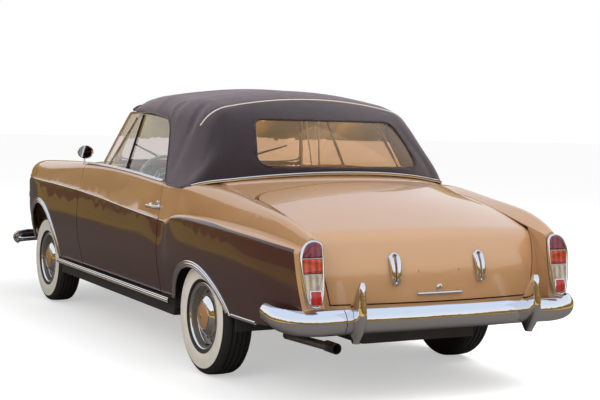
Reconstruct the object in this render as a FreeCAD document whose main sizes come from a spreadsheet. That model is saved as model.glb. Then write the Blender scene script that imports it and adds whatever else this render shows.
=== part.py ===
"""Two-door convertible car: unit body, doors, lids, folding top, running gear and steering.

Frame: +X is the car's left, -Y its front, +Y its rear, +Z up. The origin is on the ground under
the middle of the car. All sizes are millimetres.
"""
import math
import os

import FreeCAD
import Part
import Sketcher
from FreeCAD import Vector

os.makedirs("parts", exist_ok=True)
doc = FreeCAD.newDocument("Convertible")

# ---------------------------------------------------------------- driving dimensions
SIZES = {
    "wheelbase": 2700,
    "body_width": 1748,
    "front_overhang": 890,
    "rear_overhang": 1080,
    "track_front": 1430,
    "track_rear": 1470,
    "tyre_radius": 301,
    "tyre_width": 170,
    "rim_radius": 165,
    "arch_clearance": 34,
    "skin": 5,
    "panel_gap": 7,
    "lid_corner": 105,
    "plate_spacing": 230,
    "plate_hole": 3,
    "hinge_gap": 8,
    "hinge_setback": 58,
    "lid_pin": 5,
    "lid_pin_depth": 20,
    "door_depth": 92,
    "hood_depth": 16,
    "lid_depth": 18,
    "hinge_pin": 6,
    "hinge_boss": 13,
    "running_clearance": 0.05,
    "kingpin_inset": 115,
    "kingpin_radius": 9,
    "steer_arm": 140,
    "floor_level": 236,
    "sheet": 6,
    "glass": 5,
    "top_cloth": 10,
    "column_angle": 27,
    "steering_wheel_radius": 205,
    "axle_tube": 34,
}
sheet = doc.addObject("Spreadsheet::Sheet", "Dims")
for row, (alias, value) in enumerate(SIZES.items(), start=1):
    sheet.set(f"A{row}", alias)
    sheet.set(f"B{row}", str(value))
    sheet.setAlias(f"B{row}", alias)
doc.recompute()


def dim(alias):
    return float(getattr(sheet, alias))


SKIN = dim("skin")
GAP = dim("panel_gap")
HUB = dim("tyre_radius")
LENGTH = dim("front_overhang") + dim("wheelbase") + dim("rear_overhang")
FRONT_AXLE = -LENGTH / 2 + dim("front_overhang")
REAR_AXLE = FRONT_AXLE + dim("wheelbase")
PLAN = {"body_width": 1748, "front_axle": -1445, "rear_axle": 1255, "hub": 301}
BEHIND_FRONT_AXLE = 745
AHEAD_OF_REAR_AXLE = 505


def place(x, y, z):
    """A point of the drawn body carried to the car's own width, wheelbase and ride height."""
    front_edge, rear_edge = PLAN["front_axle"] + BEHIND_FRONT_AXLE, PLAN["rear_axle"] - AHEAD_OF_REAR_AXLE
    front_now, rear_now = FRONT_AXLE + BEHIND_FRONT_AXLE, REAR_AXLE - AHEAD_OF_REAR_AXLE
    if y <= front_edge:
        y_now = y + front_now - front_edge
    elif y >= rear_edge:
        y_now = y + rear_now - rear_edge
    else:
        y_now = front_now + (y - front_edge) * (rear_now - front_now) / (rear_edge - front_edge)
    return Vector(x * dim("body_width") / PLAN["body_width"], y_now, z + HUB - PLAN["hub"])


# ---------------------------------------------------------------- shape helpers
def line(a, b):
    return Part.LineSegment(a, b).toShape()


def arc(a, middle, b):
    return Part.Arc(a, middle, b).toShape()


def rounded(corners, setbacks):
    """Edges along corners, each inner corner rounded by an arc that starts its setback away."""
    edges = []
    start = corners[0]
    for before, corner, after, setback in zip(corners, corners[1:], corners[2:], setbacks):
        if setback == 0:
            edges.append(line(start, corner))
            start = corner
            continue
        back = (before - corner).normalize()
        ahead = (after - corner).normalize()
        first, last = corner + back * setback, corner + ahead * setback
        half_turn = (math.pi - back.getAngle(ahead)) / 2
        bisector = (back + ahead).normalize()
        radius = setback / math.tan(half_turn)
        to_middle = math.hypot(radius, setback) - radius
        edges.append(line(start, first))
        edges.append(arc(first, corner + bisector * to_middle, last))
        start = last
    edges.append(line(start, corners[-1]))
    return edges


def offset_chain(corners, distance):
    """The chain moved sideways in the XZ plane, to the right of its direction of travel."""
    sides = []
    for a, b in zip(corners, corners[1:]):
        along = (b - a).normalize()
        normal = Vector(along.z, 0, -along.x) * distance
        sides.append((a + normal, b + normal))
    moved = [sides[0][0]]
    for (a, b), (c, d) in zip(sides, sides[1:]):
        u, v, w = b - a, d - c, c - a
        share = (w.x * v.z - w.z * v.x) / (u.x * v.z - u.z * v.x)
        moved.append(a + u * share)
    moved.append(sides[-1][1])
    return moved


def closed(edges):
    return Part.Wire(edges)


def loft(wires, ruled=False, degree=5):
    return Part.makeLoft(wires, True, ruled, False, degree)


def box(low, high):
    size = high - low
    return Part.makeBox(size.x, size.y, size.z, low)


def prism(edges, along):
    return Part.Face(closed(edges)).extrude(along)


def mirrored(shape):
    return shape.mirror(Vector(0, 0, 0), Vector(1, 0, 0))


def tube_along(points, radius):
    """A round bar of straight runs with ball corners."""
    bar = None
    for a, b in zip(points, points[1:]):
        run = Part.makeCylinder(radius, (b - a).Length, a, b - a)
        bar = run if bar is None else bar.fuse(run)
    for point in points[1:-1]:
        bar = bar.fuse(Part.makeSphere(radius + 0.6, point))
    return bar


parts = []


def keep(label, shape):
    """A sub-part whose shape comes from code: panels lofted through tables of sections."""
    feature = doc.addObject("Part::Feature", label)
    feature.Label = label
    feature.Shape = shape if shape.ShapeType in ("Solid", "Compound") else Part.Compound(shape.Solids)
    parts.append(feature)
    return feature


def bind(item, **links):
    for name, expression in links.items():
        item.setExpression(name.replace("__", "."), expression)


def rod(name, radius, length, base, turn=("0", "1", "0", "90")):
    """A Part::Cylinder bound to the sheet; turn is axis x, y, z and angle in degrees."""
    item = doc.addObject("Part::Cylinder", name)
    bind(item, Radius=radius, Height=length)
    axis = Vector(*[float(number) for number in turn[:3]])
    item.Placement = FreeCAD.Placement(Vector(0, 0, 0), FreeCAD.Rotation(axis, float(turn[3])))
    bind(item, Placement__Base__x=base[0], Placement__Base__y=base[1], Placement__Base__z=base[2])
    return item


def brick(name, size, base):
    item = doc.addObject("Part::Box", name)
    bind(item, Length=size[0], Width=size[1], Height=size[2])
    bind(item, Placement__Base__x=base[0], Placement__Base__y=base[1], Placement__Base__z=base[2])
    return item


def grouped(label, members, fused=True):
    kind = "Part::MultiFuse" if fused else "Part::Compound"
    group = doc.addObject(kind, label)
    group.Label = label
    if fused:
        group.Shapes = members
    else:
        group.Links = members
    parts.append(group)
    return group


def plane_of(body, role):
    for feature in body.Origin.OriginFeatures:
        if feature.Role == role:
            return feature


def outline_sketch(body, name, role, corners):
    """A closed outline whose every corner is bound to two expressions of the sheet."""
    sketch = body.newObject("Sketcher::SketchObject", name)
    sketch.AttachmentSupport = [(plane_of(body, role), "")]
    sketch.MapMode = "FlatFace"
    count = len(corners)
    ring = []
    for index in range(count):
        angle = 2 * math.pi * index / count
        ring.append(Vector(500 * math.cos(angle), 500 * math.sin(angle), 0))
    for index in range(count):
        sketch.addGeometry(Part.LineSegment(ring[index], ring[(index + 1) % count]), False)
    for index in range(count):
        sketch.addConstraint(Sketcher.Constraint("Coincident", index, 2, (index + 1) % count, 1))
    for index, (across, up) in enumerate(corners):
        start = ring[index]
        for kind, value, expression in (("DistanceX", start.x, across), ("DistanceY", start.y, up)):
            number = sketch.addConstraint(Sketcher.Constraint(kind, -1, 1, index, 1, value))
            sketch.setExpression(f"Constraints[{number}]", expression)
    return sketch


def turned(label, corners, base, role="XZ_Plane", axis="H_Axis"):
    """A PartDesign revolution of an outline about the X axis, then moved to base."""
    body = doc.addObject("PartDesign::Body", label)
    body.Label = label
    sketch = outline_sketch(body, label + "_outline", role, corners)
    doc.recompute()
    spin = body.newObject("PartDesign::Revolution", label + "_spin")
    spin.Profile = sketch
    spin.ReferenceAxis = (sketch, [axis])
    spin.Angle = 360
    bind(body, Placement__Base__x=base[0], Placement__Base__y=base[1], Placement__Base__z=base[2])
    return body


# ---------------------------------------------------------------- side sections
SIDE_COLUMNS = (
    "y", "foot", "belly", "crease", "valley", "crown", "inner", "belly_arc", "crease_arc", "crown_arc",
)
SIDE = [
    (-2170, (590, 470), (690, 560), (698, 725), (690, 738), (668, 835), (520, 845), 60, 4, 45),
    (-2100, (632, 430), (722, 560), (728, 752), (721, 764), (700, 868), (548, 872), 70, 4, 55),
    (-1865, (742, 392), (800, 570), (803, 832), (796, 843), (777, 958), (585, 922), 90, 4, 75),
    (-1445, (812, 350), (866, 590), (857, 842), (850, 853), (806, 1004), (612, 952), 110, 4, 85),
    (-1100, (814, 345), (866, 590), (856, 838), (849, 849), (806, 1014), (626, 966), 110, 4, 80),
    (-620, (813, 345), (864, 585), (853, 825), (846, 836), (806, 1014), (645, 982), 110, 4, 50),
    (-215, (812, 345), (862, 580), (851, 806), (844, 817), (806, 1000), (690, 992), 110, 4, 25),
    (325, (812, 342), (860, 575), (848, 776), (841, 787), (808, 978), (690, 974), 110, 4, 22),
    (690, (812, 340), (858, 570), (845, 751), (838, 762), (811, 955), (690, 962), 100, 4, 22),
    (800, (812, 340), (858, 572), (844, 744), (837, 755), (812, 951), (690, 962), 85, 4, 22),
    (880, (813, 340), (868, 580), (862, 770), (820, 785), (812, 950), (685, 966), 90, 18, 22),
    (1000, (814, 342), (879, 588), (872, 800), (812, 806), (810, 952), (680, 975), 95, 26, 24),
    (1255, (815, 346), (884, 590), (874, 812), (800, 810), (782, 965), (658, 958), 100, 30, 60),
    (1650, (812, 352), (873, 590), (862, 797), (780, 800), (752, 930), (644, 896), 100, 30, 60),
    (1950, (800, 364), (840, 590), (830, 772), (757, 780), (737, 885), (638, 830), 90, 26, 45),
    (2100, (776, 374), (797, 590), (790, 748), (730, 757), (716, 836), (644, 792), 80, 20, 36),
    (2225, (730, 385), (742, 585), (735, 715), (692, 722), (684, 768), (640, 748), 60, 14, 22),
]


def side_section(row, inset, inner_reach):
    """One closed section of the left body side, drawn from foot to crown and back."""
    y = row["y"]
    names = ("foot", "belly", "crease", "valley", "crown", "inner")
    corners = [place(row[name][0], y, row[name][1]) for name in names]
    setbacks = [row["belly_arc"], row["crease_arc"], 0, row["crown_arc"]]
    if inset:
        corners = offset_chain(corners, -inset)
        corners[0] += (corners[0] - corners[1]).normalize() * 60
        corners[-1] += (corners[-1] - corners[-2]).normalize() * inner_reach
    edges = rounded(corners, setbacks)
    low_inner = Vector(corners[-1].x, corners[0].y, corners[0].z)
    edges.append(line(corners[-1], low_inner))
    edges.append(line(low_inner, corners[0]))
    return Part.Wire(edges)


side_rows = [dict(zip(SIDE_COLUMNS, row)) for row in SIDE]
side_solid = loft([side_section(row, 0, 0) for row in side_rows])
side_hollow = loft([side_section(row, SKIN, 30) for row in side_rows])
TAIL_CUT = [(2114, 1100), (2221, 474), (2194, 444), (2180, 200)]


def behind_tail(shift):
    """Everything behind the sloping end of the rear fenders, moved forward by shift."""
    ring = [place(0, y, z) + Vector(-1200, -shift, 0) for y, z in TAIL_CUT]
    ring += [Vector(-1200, 3000, ring[-1].z), Vector(-1200, 3000, ring[0].z)]
    return Part.Face(Part.makePolygon(ring + [ring[0]])).extrude(Vector(2400, 0, 0))


front_cap = box(Vector(0, -4000, -500), Vector(1200, place(0, -2170, 0).y + SKIN, 2500))
tail_wall = box(place(500, 2040, -500), place(650, 2400, 1500))
side_solid = side_solid.cut(behind_tail(0))
side_hollow = side_hollow.cut(behind_tail(SKIN)).cut(front_cap).cut(tail_wall)
side_skin = side_solid.cut(side_hollow)


def outline(points, arcs=()):
    """Closed outline in the side view; an index in arcs bends the edge through its middle point."""
    edges = []
    index = 0
    ring = [place(0, y, z) for y, z in points]
    ring.append(ring[0])
    while index < len(ring) - 1:
        if index in arcs:
            edges.append(arc(ring[index], ring[index + 1], ring[index + 2]))
            index += 2
        else:
            edges.append(line(ring[index], ring[index + 1]))
            index += 1
    return edges


def side_prism(points, arcs=(), low=300, high=1100):
    solid = prism(outline(points, arcs), Vector(high - low, 0, 0))
    solid.translate(Vector(low, 0, 0))
    return solid


# ---------------------------------------------------------------- doors and fenders
DOOR_HINGE_X = 834
DOOR_HINGE_Y = -558
DOOR_INNER = 848 - dim("door_depth")
DOOR_FOOT = 350
COWL_END = -425
DOOR_STEP = 808
STEP_IN = 8
DOOR_SWEEP = 28


def door_outline(grow, drop=0):
    """Side view of the door; grow widens it fore and aft, drop lowers its foot."""
    return [
        (-612 - grow, DOOR_FOOT - drop), (-618 - grow, 650), (-604 - grow, 1060),
        (684 + grow, 1060), (712 + grow, 640), (706 + grow, DOOR_FOOT - drop),
    ], (0, 3)


ARCHES = {
    "front": {"y": FRONT_AXLE, "z": HUB + 57, "radius": HUB + dim("arch_clearance")},
    "rear": {"y": REAR_AXLE - 15, "z": HUB - 107, "radius": HUB + dim("arch_clearance") + 28},
}


def arch_cutter(arch, grow=0):
    """The wheel opening: a round top over straight sides."""
    round_top = Part.makeCylinder(
        arch["radius"] + grow, 700, Vector(400, arch["y"], arch["z"]), Vector(1, 0, 0)
    )
    reach = arch["radius"] + grow
    legs = box(Vector(400, arch["y"] - reach, -100), Vector(1100, arch["y"] + reach, arch["z"]))
    return round_top.fuse(legs)


door_points, door_arcs = door_outline(0)
hole_points, hole_arcs = door_outline(GAP, 40)
door_cut = side_prism(door_points, door_arcs)
hole_cut = side_prism(hole_points, hole_arcs, low=DOOR_INNER - DOOR_SWEEP)
cabin_side = box(place(300, COWL_END, 0), place(DOOR_INNER - DOOR_SWEEP, 712, 1500))
hinge_y = place(0, DOOR_HINGE_Y, 0).y
HINGE_LEVELS = (545, 745)
HINGE_HEIGHT = 60


def body_box(low, high):
    return box(place(*low), place(*high))


PILLAR_FRONT = [(-560, 700), (-444, 985), (-314, 1330)]
GLASS_FRONT = ((770, -478, 940), (612, -300, 1345))
GLASS_REAR = ((786, 720, 940), (640, 560, 1345))


def glass_slab(depth, outward=0, drop=0):
    """The sloping sheet the side glass is cut from; outward and drop place its foot and face."""
    wires = []
    for low, high in (GLASS_FRONT, GLASS_REAR):
        foot, head = place(*low) + Vector(outward, 0, -drop), place(*high) + Vector(outward, 0, 0)
        across = Vector(depth, 0, 0)
        wires.append(Part.makePolygon([foot, head, head - across, foot - across, foot]))
    return loft(wires, True)


def side_window(grow, front):
    """Side view of the opening over the door: front edge, rail, round rear corner, belt."""
    rear = [(60, 1350 + grow), (518 + grow, 1308 + grow), (724 + grow, 925), (724 + grow, 600)]
    ring = [place(0, y, z) for y, z in front + rear]
    edges = rounded(ring, (0,) * (len(front) - 1) + (100, 85, 0)) + [line(ring[-1], ring[0])]
    solid = Part.Face(Part.Wire(edges)).extrude(Vector(2400, 0, 0))
    solid.translate(Vector(-1200, 0, 0))
    return solid


def door(cut):
    """Door as thick as its wall: outer skin, folded edges, inner panel and a hollow between."""
    inner_x = place(DOOR_INNER, 0, 0).x
    step_x = place(DOOR_STEP, 0, 0).x
    points, arcs = door_outline(-STEP_IN)
    inner_slab = box(Vector(inner_x, -5000, -500), Vector(step_x, 5000, 2500))
    outer_slab = box(Vector(step_x, -5000, -500), Vector(1200, 5000, 2500))
    inner_part = inner_slab.common(side_prism(points, arcs))
    outer_part = outer_slab.common(cut)
    whole = side_solid.common(inner_part.fuse(outer_part))
    points, arcs = door_outline(-18, 0)
    hollow = side_hollow.common(side_prism(points, arcs))
    room_low = Vector(inner_x + SKIN, -5000, place(0, 0, DOOR_FOOT + 14).z)
    room = box(room_low, Vector(1200, 5000, place(0, 0, 940).z))
    whole = whole.cut(hollow.common(room))
    slot = glass_slab(dim("glass") + 8, 4, 0.2).common(side_window(-2, PILLAR_FRONT))
    whole = whole.cut(slot.common(body_box((0, -2000, 0), (1200, 694, 2000))))
    for level in HINGE_LEVELS:
        base = Vector(place(DOOR_HINGE_X, 0, 0).x, hinge_y, place(0, 0, level).z)
        pocket = Part.makeCylinder(dim("hinge_boss") + 22, HINGE_HEIGHT, base)
        inward = box(base + Vector(-120, -60, 0), base + Vector(10, 25, HINGE_HEIGHT))
        whole = whole.cut(pocket.fuse(inward).common(side_hollow))
        for lift in (0, HINGE_HEIGHT - 14):
            boss = Part.makeCylinder(dim("hinge_boss"), 14, base + Vector(0, 0, lift))
            web = box(base + Vector(-9, 0, lift), base + Vector(45, 60, lift + 14))
            whole = whole.fuse(boss.fuse(web).common(side_hollow))
        bore_radius = dim("hinge_pin") + dim("running_clearance")
        bore = Part.makeCylinder(bore_radius, HINGE_HEIGHT + 40, base - Vector(0, 0, 20))
        whole = whole.cut(bore)
    return whole


door_left = door(door_cut)

fender_box = body_box((400, -2600, 0), (1200, 0, 1500))
quarter_box = body_box((400, 0, 0), (1200, 2600, 1500))
open_skin = side_skin.cut(hole_cut).cut(cabin_side)
front_fender = open_skin.common(fender_box).cut(arch_cutter(ARCHES["front"]))
rear_fender = open_skin.common(quarter_box).cut(arch_cutter(ARCHES["rear"]))
for side in ("left", "right"):
    turn = (lambda shape: shape) if side == "left" else mirrored
    keep("door_" + side, turn(door_left))
    keep("front_fender_" + side, turn(front_fender))

# ---------------------------------------------------------------- hood, cowl and nose
HOOD_COLUMNS = ("y", "half", "edge", "middle")
HOOD = [
    (-2170, 520, 845, 868), (-2100, 548, 872, 898), (-1865, 585, 922, 955), (-1445, 612, 952, 992),
    (-1100, 626, 966, 1008), (-620, 645, 982, 1024), (-400, 668, 990, 1030),
]


def hood_section(row, depth, inset=1.3):
    half = row["half"] - inset
    left = place(half, row["y"], row["edge"])
    top = place(0, row["y"], row["middle"])
    right = Vector(-left.x, left.y, left.z)
    drop = Vector(0, 0, -depth)
    return closed([
        arc(left, top, right), line(right, right + drop),
        arc(right + drop, top + drop, left + drop), line(left + drop, left),
    ])


hood_rows = [dict(zip(HOOD_COLUMNS, row)) for row in HOOD]
upper_front = loft([hood_section(row, dim("hood_depth")) for row in hood_rows])
HOOD_FRONT, HOOD_REAR = -2128, -800
HOOD_HINGE_X, LID_HINGE_X = 260, 160
HINGE_GAP = dim("hinge_gap")
SETBACK = dim("hinge_setback")
PIN = dim("lid_pin")


def slab(y_low, y_high, half=1200):
    return box(Vector(-half, place(0, y_low, 0).y, -500), Vector(half, place(0, y_high, 0).y, 2500))


hood = loft([hood_section(row, dim("hood_depth"), GAP) for row in hood_rows])
hood = hood.common(slab(HOOD_FRONT, HOOD_REAR))
cowl_panel = upper_front.common(slab(HOOD_REAR + HINGE_GAP, COWL_END))
nose_top = upper_front.common(slab(-2170, HOOD_FRONT - GAP))


def plate_along(points, half_width, x_low, x_high):
    """A flat bar in the side view through points, with round corners, from x_low to x_high."""
    across = Vector(x_high - x_low, 0, 0)
    bar = None
    for a, b in zip(points, points[1:]):
        along = (b - a).normalize()
        side = Vector(0, -along.z, along.y) * half_width
        shift = Vector(x_low - a.x, 0, 0)
        ring = [a + side + shift, b + side + shift, b - side + shift, a - side + shift]
        run = Part.Face(Part.makePolygon(ring + [ring[0]])).extrude(across)
        ball = Part.makeCylinder(half_width, across.x, b + shift, Vector(1, 0, 0))
        bar = run.fuse(ball) if bar is None else bar.fuse([run, ball])
    start = points[0] + Vector(x_low - points[0].x, 0, 0)
    return bar.fuse(Part.makeCylinder(half_width + 1, across.x, start, Vector(1, 0, 0)))


def lid_hinge(panel, fixed, centre, facing):
    """Boss and pocket in the panel, and the bracket with its pin that comes round from the fixed side."""
    x = Vector(1, 0, 0)
    pocket = box(centre + Vector(-27, -26, -40), centre + Vector(27, 26, PIN + 4))
    boss = Part.makeCylinder(PIN + 4, 20, centre - x * 10, x)
    web = box(centre + Vector(-10, min(0, -facing * 40), -PIN),
              centre + Vector(10, max(0, -facing * 40), PIN))
    bore = Part.makeCylinder(PIN + dim("running_clearance"), 80, centre - x * 40, x)
    panel = panel.cut(pocket).fuse(boss.fuse(web)).cut(bore)
    route = [(0, 0), (-facing * 45, -55), (-facing * 45, -88), (facing * 80, -88), (facing * 80, 60)]
    points = [centre + Vector(0, y, z) for y, z in route]
    cheeks = [plate_along(points, 7, centre.x + low, centre.x + low + 6) for low in (-19, 13)]
    tie = box(centre + Vector(-19, -6, -94), centre + Vector(19, 6, -82))
    bracket = Part.makeCylinder(PIN, 38, centre - x * 19, x).fuse(cheeks + [tie]).cut(fixed)
    lower = min(bracket.Solids, key=lambda solid: solid.BoundBox.ZMin)
    return panel, lower


def hood_height(x, y):
    """Height of the hood's skin over a drawn point."""
    for low, high in zip(hood_rows, hood_rows[1:]):
        if low["y"] <= y <= high["y"]:
            share = (y - low["y"]) / (high["y"] - low["y"])
            names = ("half", "edge", "middle")
            half, edge, middle = (low[name] + (high[name] - low[name]) * share for name in names)
            return middle + (edge - middle) * (x / half) ** 2


hinge_brackets = []
hood_pieces = hood
hinge_station = HOOD_REAR - SETBACK
hinge_height = hood_height(HOOD_HINGE_X, hinge_station) - dim("lid_pin_depth")
for sign in (-1, 1):
    centre = place(sign * HOOD_HINGE_X, hinge_station, hinge_height)
    hood_pieces, bracket = lid_hinge(hood_pieces, cowl_panel, centre, 1)
    hinge_brackets.append(bracket)
keep("hood", hood_pieces)

nose_left = place(520, -2170, 0).x - 0.3
grille_half = 235
lower = place(0, 0, 470).z
upper = place(0, 0, 850).z
front_face_y = place(0, -2170, 0).y
wall = box(Vector(-nose_left, front_face_y, lower), Vector(nose_left, front_face_y + 6, upper))
grille_room = box(Vector(-grille_half, front_face_y - 50, lower + 40),
                  Vector(grille_half, front_face_y + 50, upper + 50))
wall = wall.cut(nose_top).cut(grille_room)
keep("nose_panel", Part.Compound([nose_top] + wall.Solids))
shell = box(Vector(-grille_half + 1, front_face_y - 60, lower + 42),
            Vector(grille_half - 1, front_face_y + 20, upper + 16))
hole = box(Vector(-grille_half + 22, front_face_y - 90, lower + 62),
           Vector(grille_half - 22, front_face_y + 60, upper - 20))
shell = shell.cut(hole)
GRILLE_PITCH = 21.5
for index in range(-9, 10):
    x = index * GRILLE_PITCH
    shell = shell.fuse(box(Vector(x - 3, front_face_y - 45, lower + 50),
                           Vector(x + 3, front_face_y - 5, upper - 10)))
for level in (0.33, 0.66):
    z = lower + 62 + (upper - lower - 82) * level
    shell = shell.fuse(box(Vector(-grille_half + 10, front_face_y - 48, z - 4),
                           Vector(grille_half - 10, front_face_y - 10, z + 4)))
keep("grille", shell.cut(nose_top))

# ---------------------------------------------------------------- rear deck and trunk lid
TAIL_MIDDLE = ((1090, 1082), (1800, 918), (2120, 800), (2185, 640), (2208, 345))
TAIL_EDGE = ((1090, 996), (1800, 870), (2060, 785), (2125, 640), (2146, 345))
TAIL_ARCS = (190, 55, 70)
LID_FRONT = 1455
LID_FOOT = 478


def tail_section(x, depth):
    share = (x / 640) ** 2
    corners = []
    for (y0, z0), (y1, z1) in zip(TAIL_MIDDLE, TAIL_EDGE):
        corners.append(place(x, y0 + (y1 - y0) * share, z0 + (z1 - z0) * share))
    flat = [Vector(corner.y, 0, corner.z) for corner in corners]
    inner = [Vector(corners[0].x, point.x, point.z) for point in offset_chain(flat, depth)]
    edges = rounded(corners, TAIL_ARCS)
    edges.append(line(corners[-1], inner[-1]))
    edges += rounded(list(reversed(inner)), tuple(reversed(TAIL_ARCS)))
    edges.append(line(inner[0], corners[0]))
    return Part.Wire(edges)


def tail_loft(depth):
    return loft([tail_section(x, depth) for x in (-690, -345, 0, 345, 690)])


tail_shell = tail_loft(dim("lid_depth"))


def edge_x(y):
    """Half width between the fenders at a drawn station y."""
    rows = [(row["y"], row["inner"][0]) for row in side_rows]
    for (y0, x0), (y1, x1) in zip(rows, rows[1:]):
        if y0 <= y <= y1:
            return x0 + (x1 - x0) * (y - y0) / (y1 - y0)


def plan_outline(stations, grow, low, high, corner=0):
    """Prism over the area between the fenders, grow wider on each side, its front corners rounded."""
    left = [place(edge_x(y) + grow, y, 0) for y in stations]
    right = [Vector(-point.x, point.y, point.z) for point in left]
    ring = list(reversed(right)) + left
    middle = (ring[0] + ring[-1]) * 0.5
    setbacks = [0] * len(ring)
    setbacks[len(left) - 1] = setbacks[len(left)] = corner
    solid = prism(rounded([middle] + ring + [middle], setbacks), Vector(0, 0, high - low))
    solid.translate(Vector(0, 0, low))
    return solid


def tail_wedge(sign, grow, z_low):
    """The slanting strip between the lid and the lamp, grow nearer the middle."""
    (x_low, low), (x_high, high) = LID_SIDE
    foot = x_low + (x_high - x_low) * (z_low - low) / (high - low)
    chain = ((foot - grow, z_low), (700, z_low), (700, high), (x_high - grow, high))
    ring = [place(sign * x, 2000, z) for x, z in chain]
    return Part.Face(Part.makePolygon(ring + [ring[0]])).extrude(Vector(0, 400, 0))


LID_SIDE = ((576, 478), (646, 812))
CORNER = dim("lid_corner")
PLATE_LEVEL = 622
deck_plan = plan_outline((1120, 1255, LID_FRONT + CORNER + 30), -1.4, 500, 1300)
lid_plan = plan_outline((LID_FRONT, 1650, 1950, 2100, 2225), -GAP, 0, 1300, CORNER)
lid_room = plan_outline((LID_FRONT - HINGE_GAP, 1650, 1950, 2100, 2225), 20, 0, 1300, CORNER + 20)
lid_floor = box(Vector(-1000, -5000, place(0, 0, LID_FOOT).z), Vector(1000, 5000, 3000))
lid = tail_shell.common(lid_plan).common(lid_floor).cut([tail_wedge(-1, GAP, 300), tail_wedge(1, GAP, 300)])
deck = tail_shell.common(deck_plan).cut(lid_room).cut(side_solid).cut(mirrored(side_solid))
deck = max(deck.Solids, key=lambda solid: solid.Volume)


def tail_height(x, y):
    """Height of the rear slope over a drawn point ahead of its first bend."""
    heights = []
    for chain in (TAIL_MIDDLE, TAIL_EDGE):
        (y0, z0), (y1, z1) = chain[:2]
        heights.append(z0 + (z1 - z0) * (y - y0) / (y1 - y0))
    return heights[0] + (heights[1] - heights[0]) * (x / 640) ** 2


lid_station = LID_FRONT + SETBACK
lid_height = tail_height(LID_HINGE_X, lid_station) - dim("lid_pin_depth")
for sign in (-1, 1):
    centre = place(sign * LID_HINGE_X, lid_station, lid_height)
    lid, bracket = lid_hinge(lid, deck, centre, -1)
    hinge_brackets.append(bracket)
strip = tail_shell.common(tail_wedge(1, 0, LID_FOOT - GAP + 0.3)).cut(side_hollow)
quarter = rear_fender.fuse(strip)
for side in ("left", "right"):
    keep("rear_fender_" + side, quarter if side == "left" else mirrored(quarter))
for sign in (-1, 1):
    hole = Vector(sign * dim("plate_spacing") / 2, place(0, 2000, 0).y, place(0, 0, PLATE_LEVEL).z)
    lid = lid.cut(Part.makeCylinder(dim("plate_hole"), 400, hole, Vector(0, 1, 0)))
keep("trunk_lid", lid)
keep("rear_deck", deck)
keep("hinge_brackets", Part.Compound(hinge_brackets))
keep("cowl_panel", cowl_panel)

# ---------------------------------------------------------------- tail panel
valance = tail_shell.common(plan_outline((1950, 2100, 2225), -0.9, 0, 1300)).common(
    box(Vector(-1000, 0, 0), Vector(1000, 5000, place(0, 0, LID_FOOT - GAP).z)))
keep("tail_panel", valance)

# ---------------------------------------------------------------- windshield
SCREEN_FOOT = {"x": 685, "y": -450, "z": 1003, "middle_y": -665}
SCREEN_HEAD = {"x": 572, "y": -276, "z": 1420, "middle_y": -398}


def screen_arc(end, inset):
    left = place(end["x"] - inset, end["y"] + inset, end["z"])
    middle = place(0, end["middle_y"] + inset, end["z"])
    return left, middle, Vector(-left.x, left.y, left.z)


def screen_sheet(outer, depth):
    wires = []
    for end in (SCREEN_FOOT, SCREEN_HEAD):
        left, middle, right = screen_arc(end, outer)
        left_in, middle_in, right_in = screen_arc(end, outer + depth)
        wires.append(Part.Wire([
            arc(left, middle, right), line(right, right_in),
            arc(right_in, middle_in, left_in), line(left_in, left),
        ]))
    return loft(wires, True)


def front_prism(corners, setbacks, y_low, y_high):
    """Outline in the front view, symmetric about the middle, run from y_low to y_high."""
    left = [place(x, 0, z) for x, z in corners]
    ring = left + [Vector(-point.x, point.y, point.z) for point in reversed(left)]
    ring = [(ring[0] + ring[-1]) * 0.5] + ring + [(ring[0] + ring[-1]) * 0.5]
    arcs = list(setbacks) + list(reversed(setbacks))
    solid = Part.Face(Part.Wire(rounded(ring, arcs))).extrude(Vector(0, y_high - y_low, 0))
    solid.translate(Vector(0, y_low, 0))
    return solid


screen_opening = front_prism(((655, 1026), (582, 1318)), (40, 60), -1200, 200)
screen_glass_cut = front_prism(((654.7, 1026.3), (581.7, 1317.7)), (40, 60), -1200, 200)
frame = screen_sheet(0, 30).cut(screen_opening)
glass = screen_sheet(12, dim("glass")).common(screen_glass_cut)
keep("windshield_glass", glass)

# ---------------------------------------------------------------- folding top
SEAT_RISE = 0.268
SEAT_LEAN = math.degrees(math.atan2(1, SEAT_RISE))
BOW_COLUMNS = ("base", "shoulder", "middle", "setback", "lean")
BOWS = [
    ((700, -470, 950), (596, -470, 1352), (0, -470, 1398), 80, 0),
    ((744, -120, 950), (640, -120, 1408), (0, -120, 1466), 110, 0),
    ((778, 250, 950), (662, 250, 1430), (0, 250, 1492), 125, 0),
    ((800, 600, 950), (660, 600, 1414), (0, 600, 1480), 130, 0),
    ((812, 820, 945), (626, 850, 1378), (0, 880, 1430), 120, 12),
    ((814, 900, 944), (604, 985, 1306), (0, 1070, 1336), 110, 45),
    ((812, 965, 943), (694, 1120, 1090), (0, 1325, 1118), 105, 62),
    ((807, 1000, 944), (736, 1145, 944 + 145 * SEAT_RISE), (0, 1345, 944 + 345 * SEAT_RISE), 95, SEAT_LEAN),
]


def bow_chain(row, depth):
    """Half of a bow, from its base over the shoulder to the middle, depth inside the cloth."""
    turn = math.radians(row["lean"])
    moves = (
        Vector(-depth, 0, 0),
        Vector(-depth, -depth * math.sin(turn), -depth * math.cos(turn)),
        Vector(0, -depth * math.sin(turn), -depth * math.cos(turn)),
    )
    return [place(*row[name]) + move for name, move in zip(("base", "shoulder", "middle"), moves)]


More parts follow.
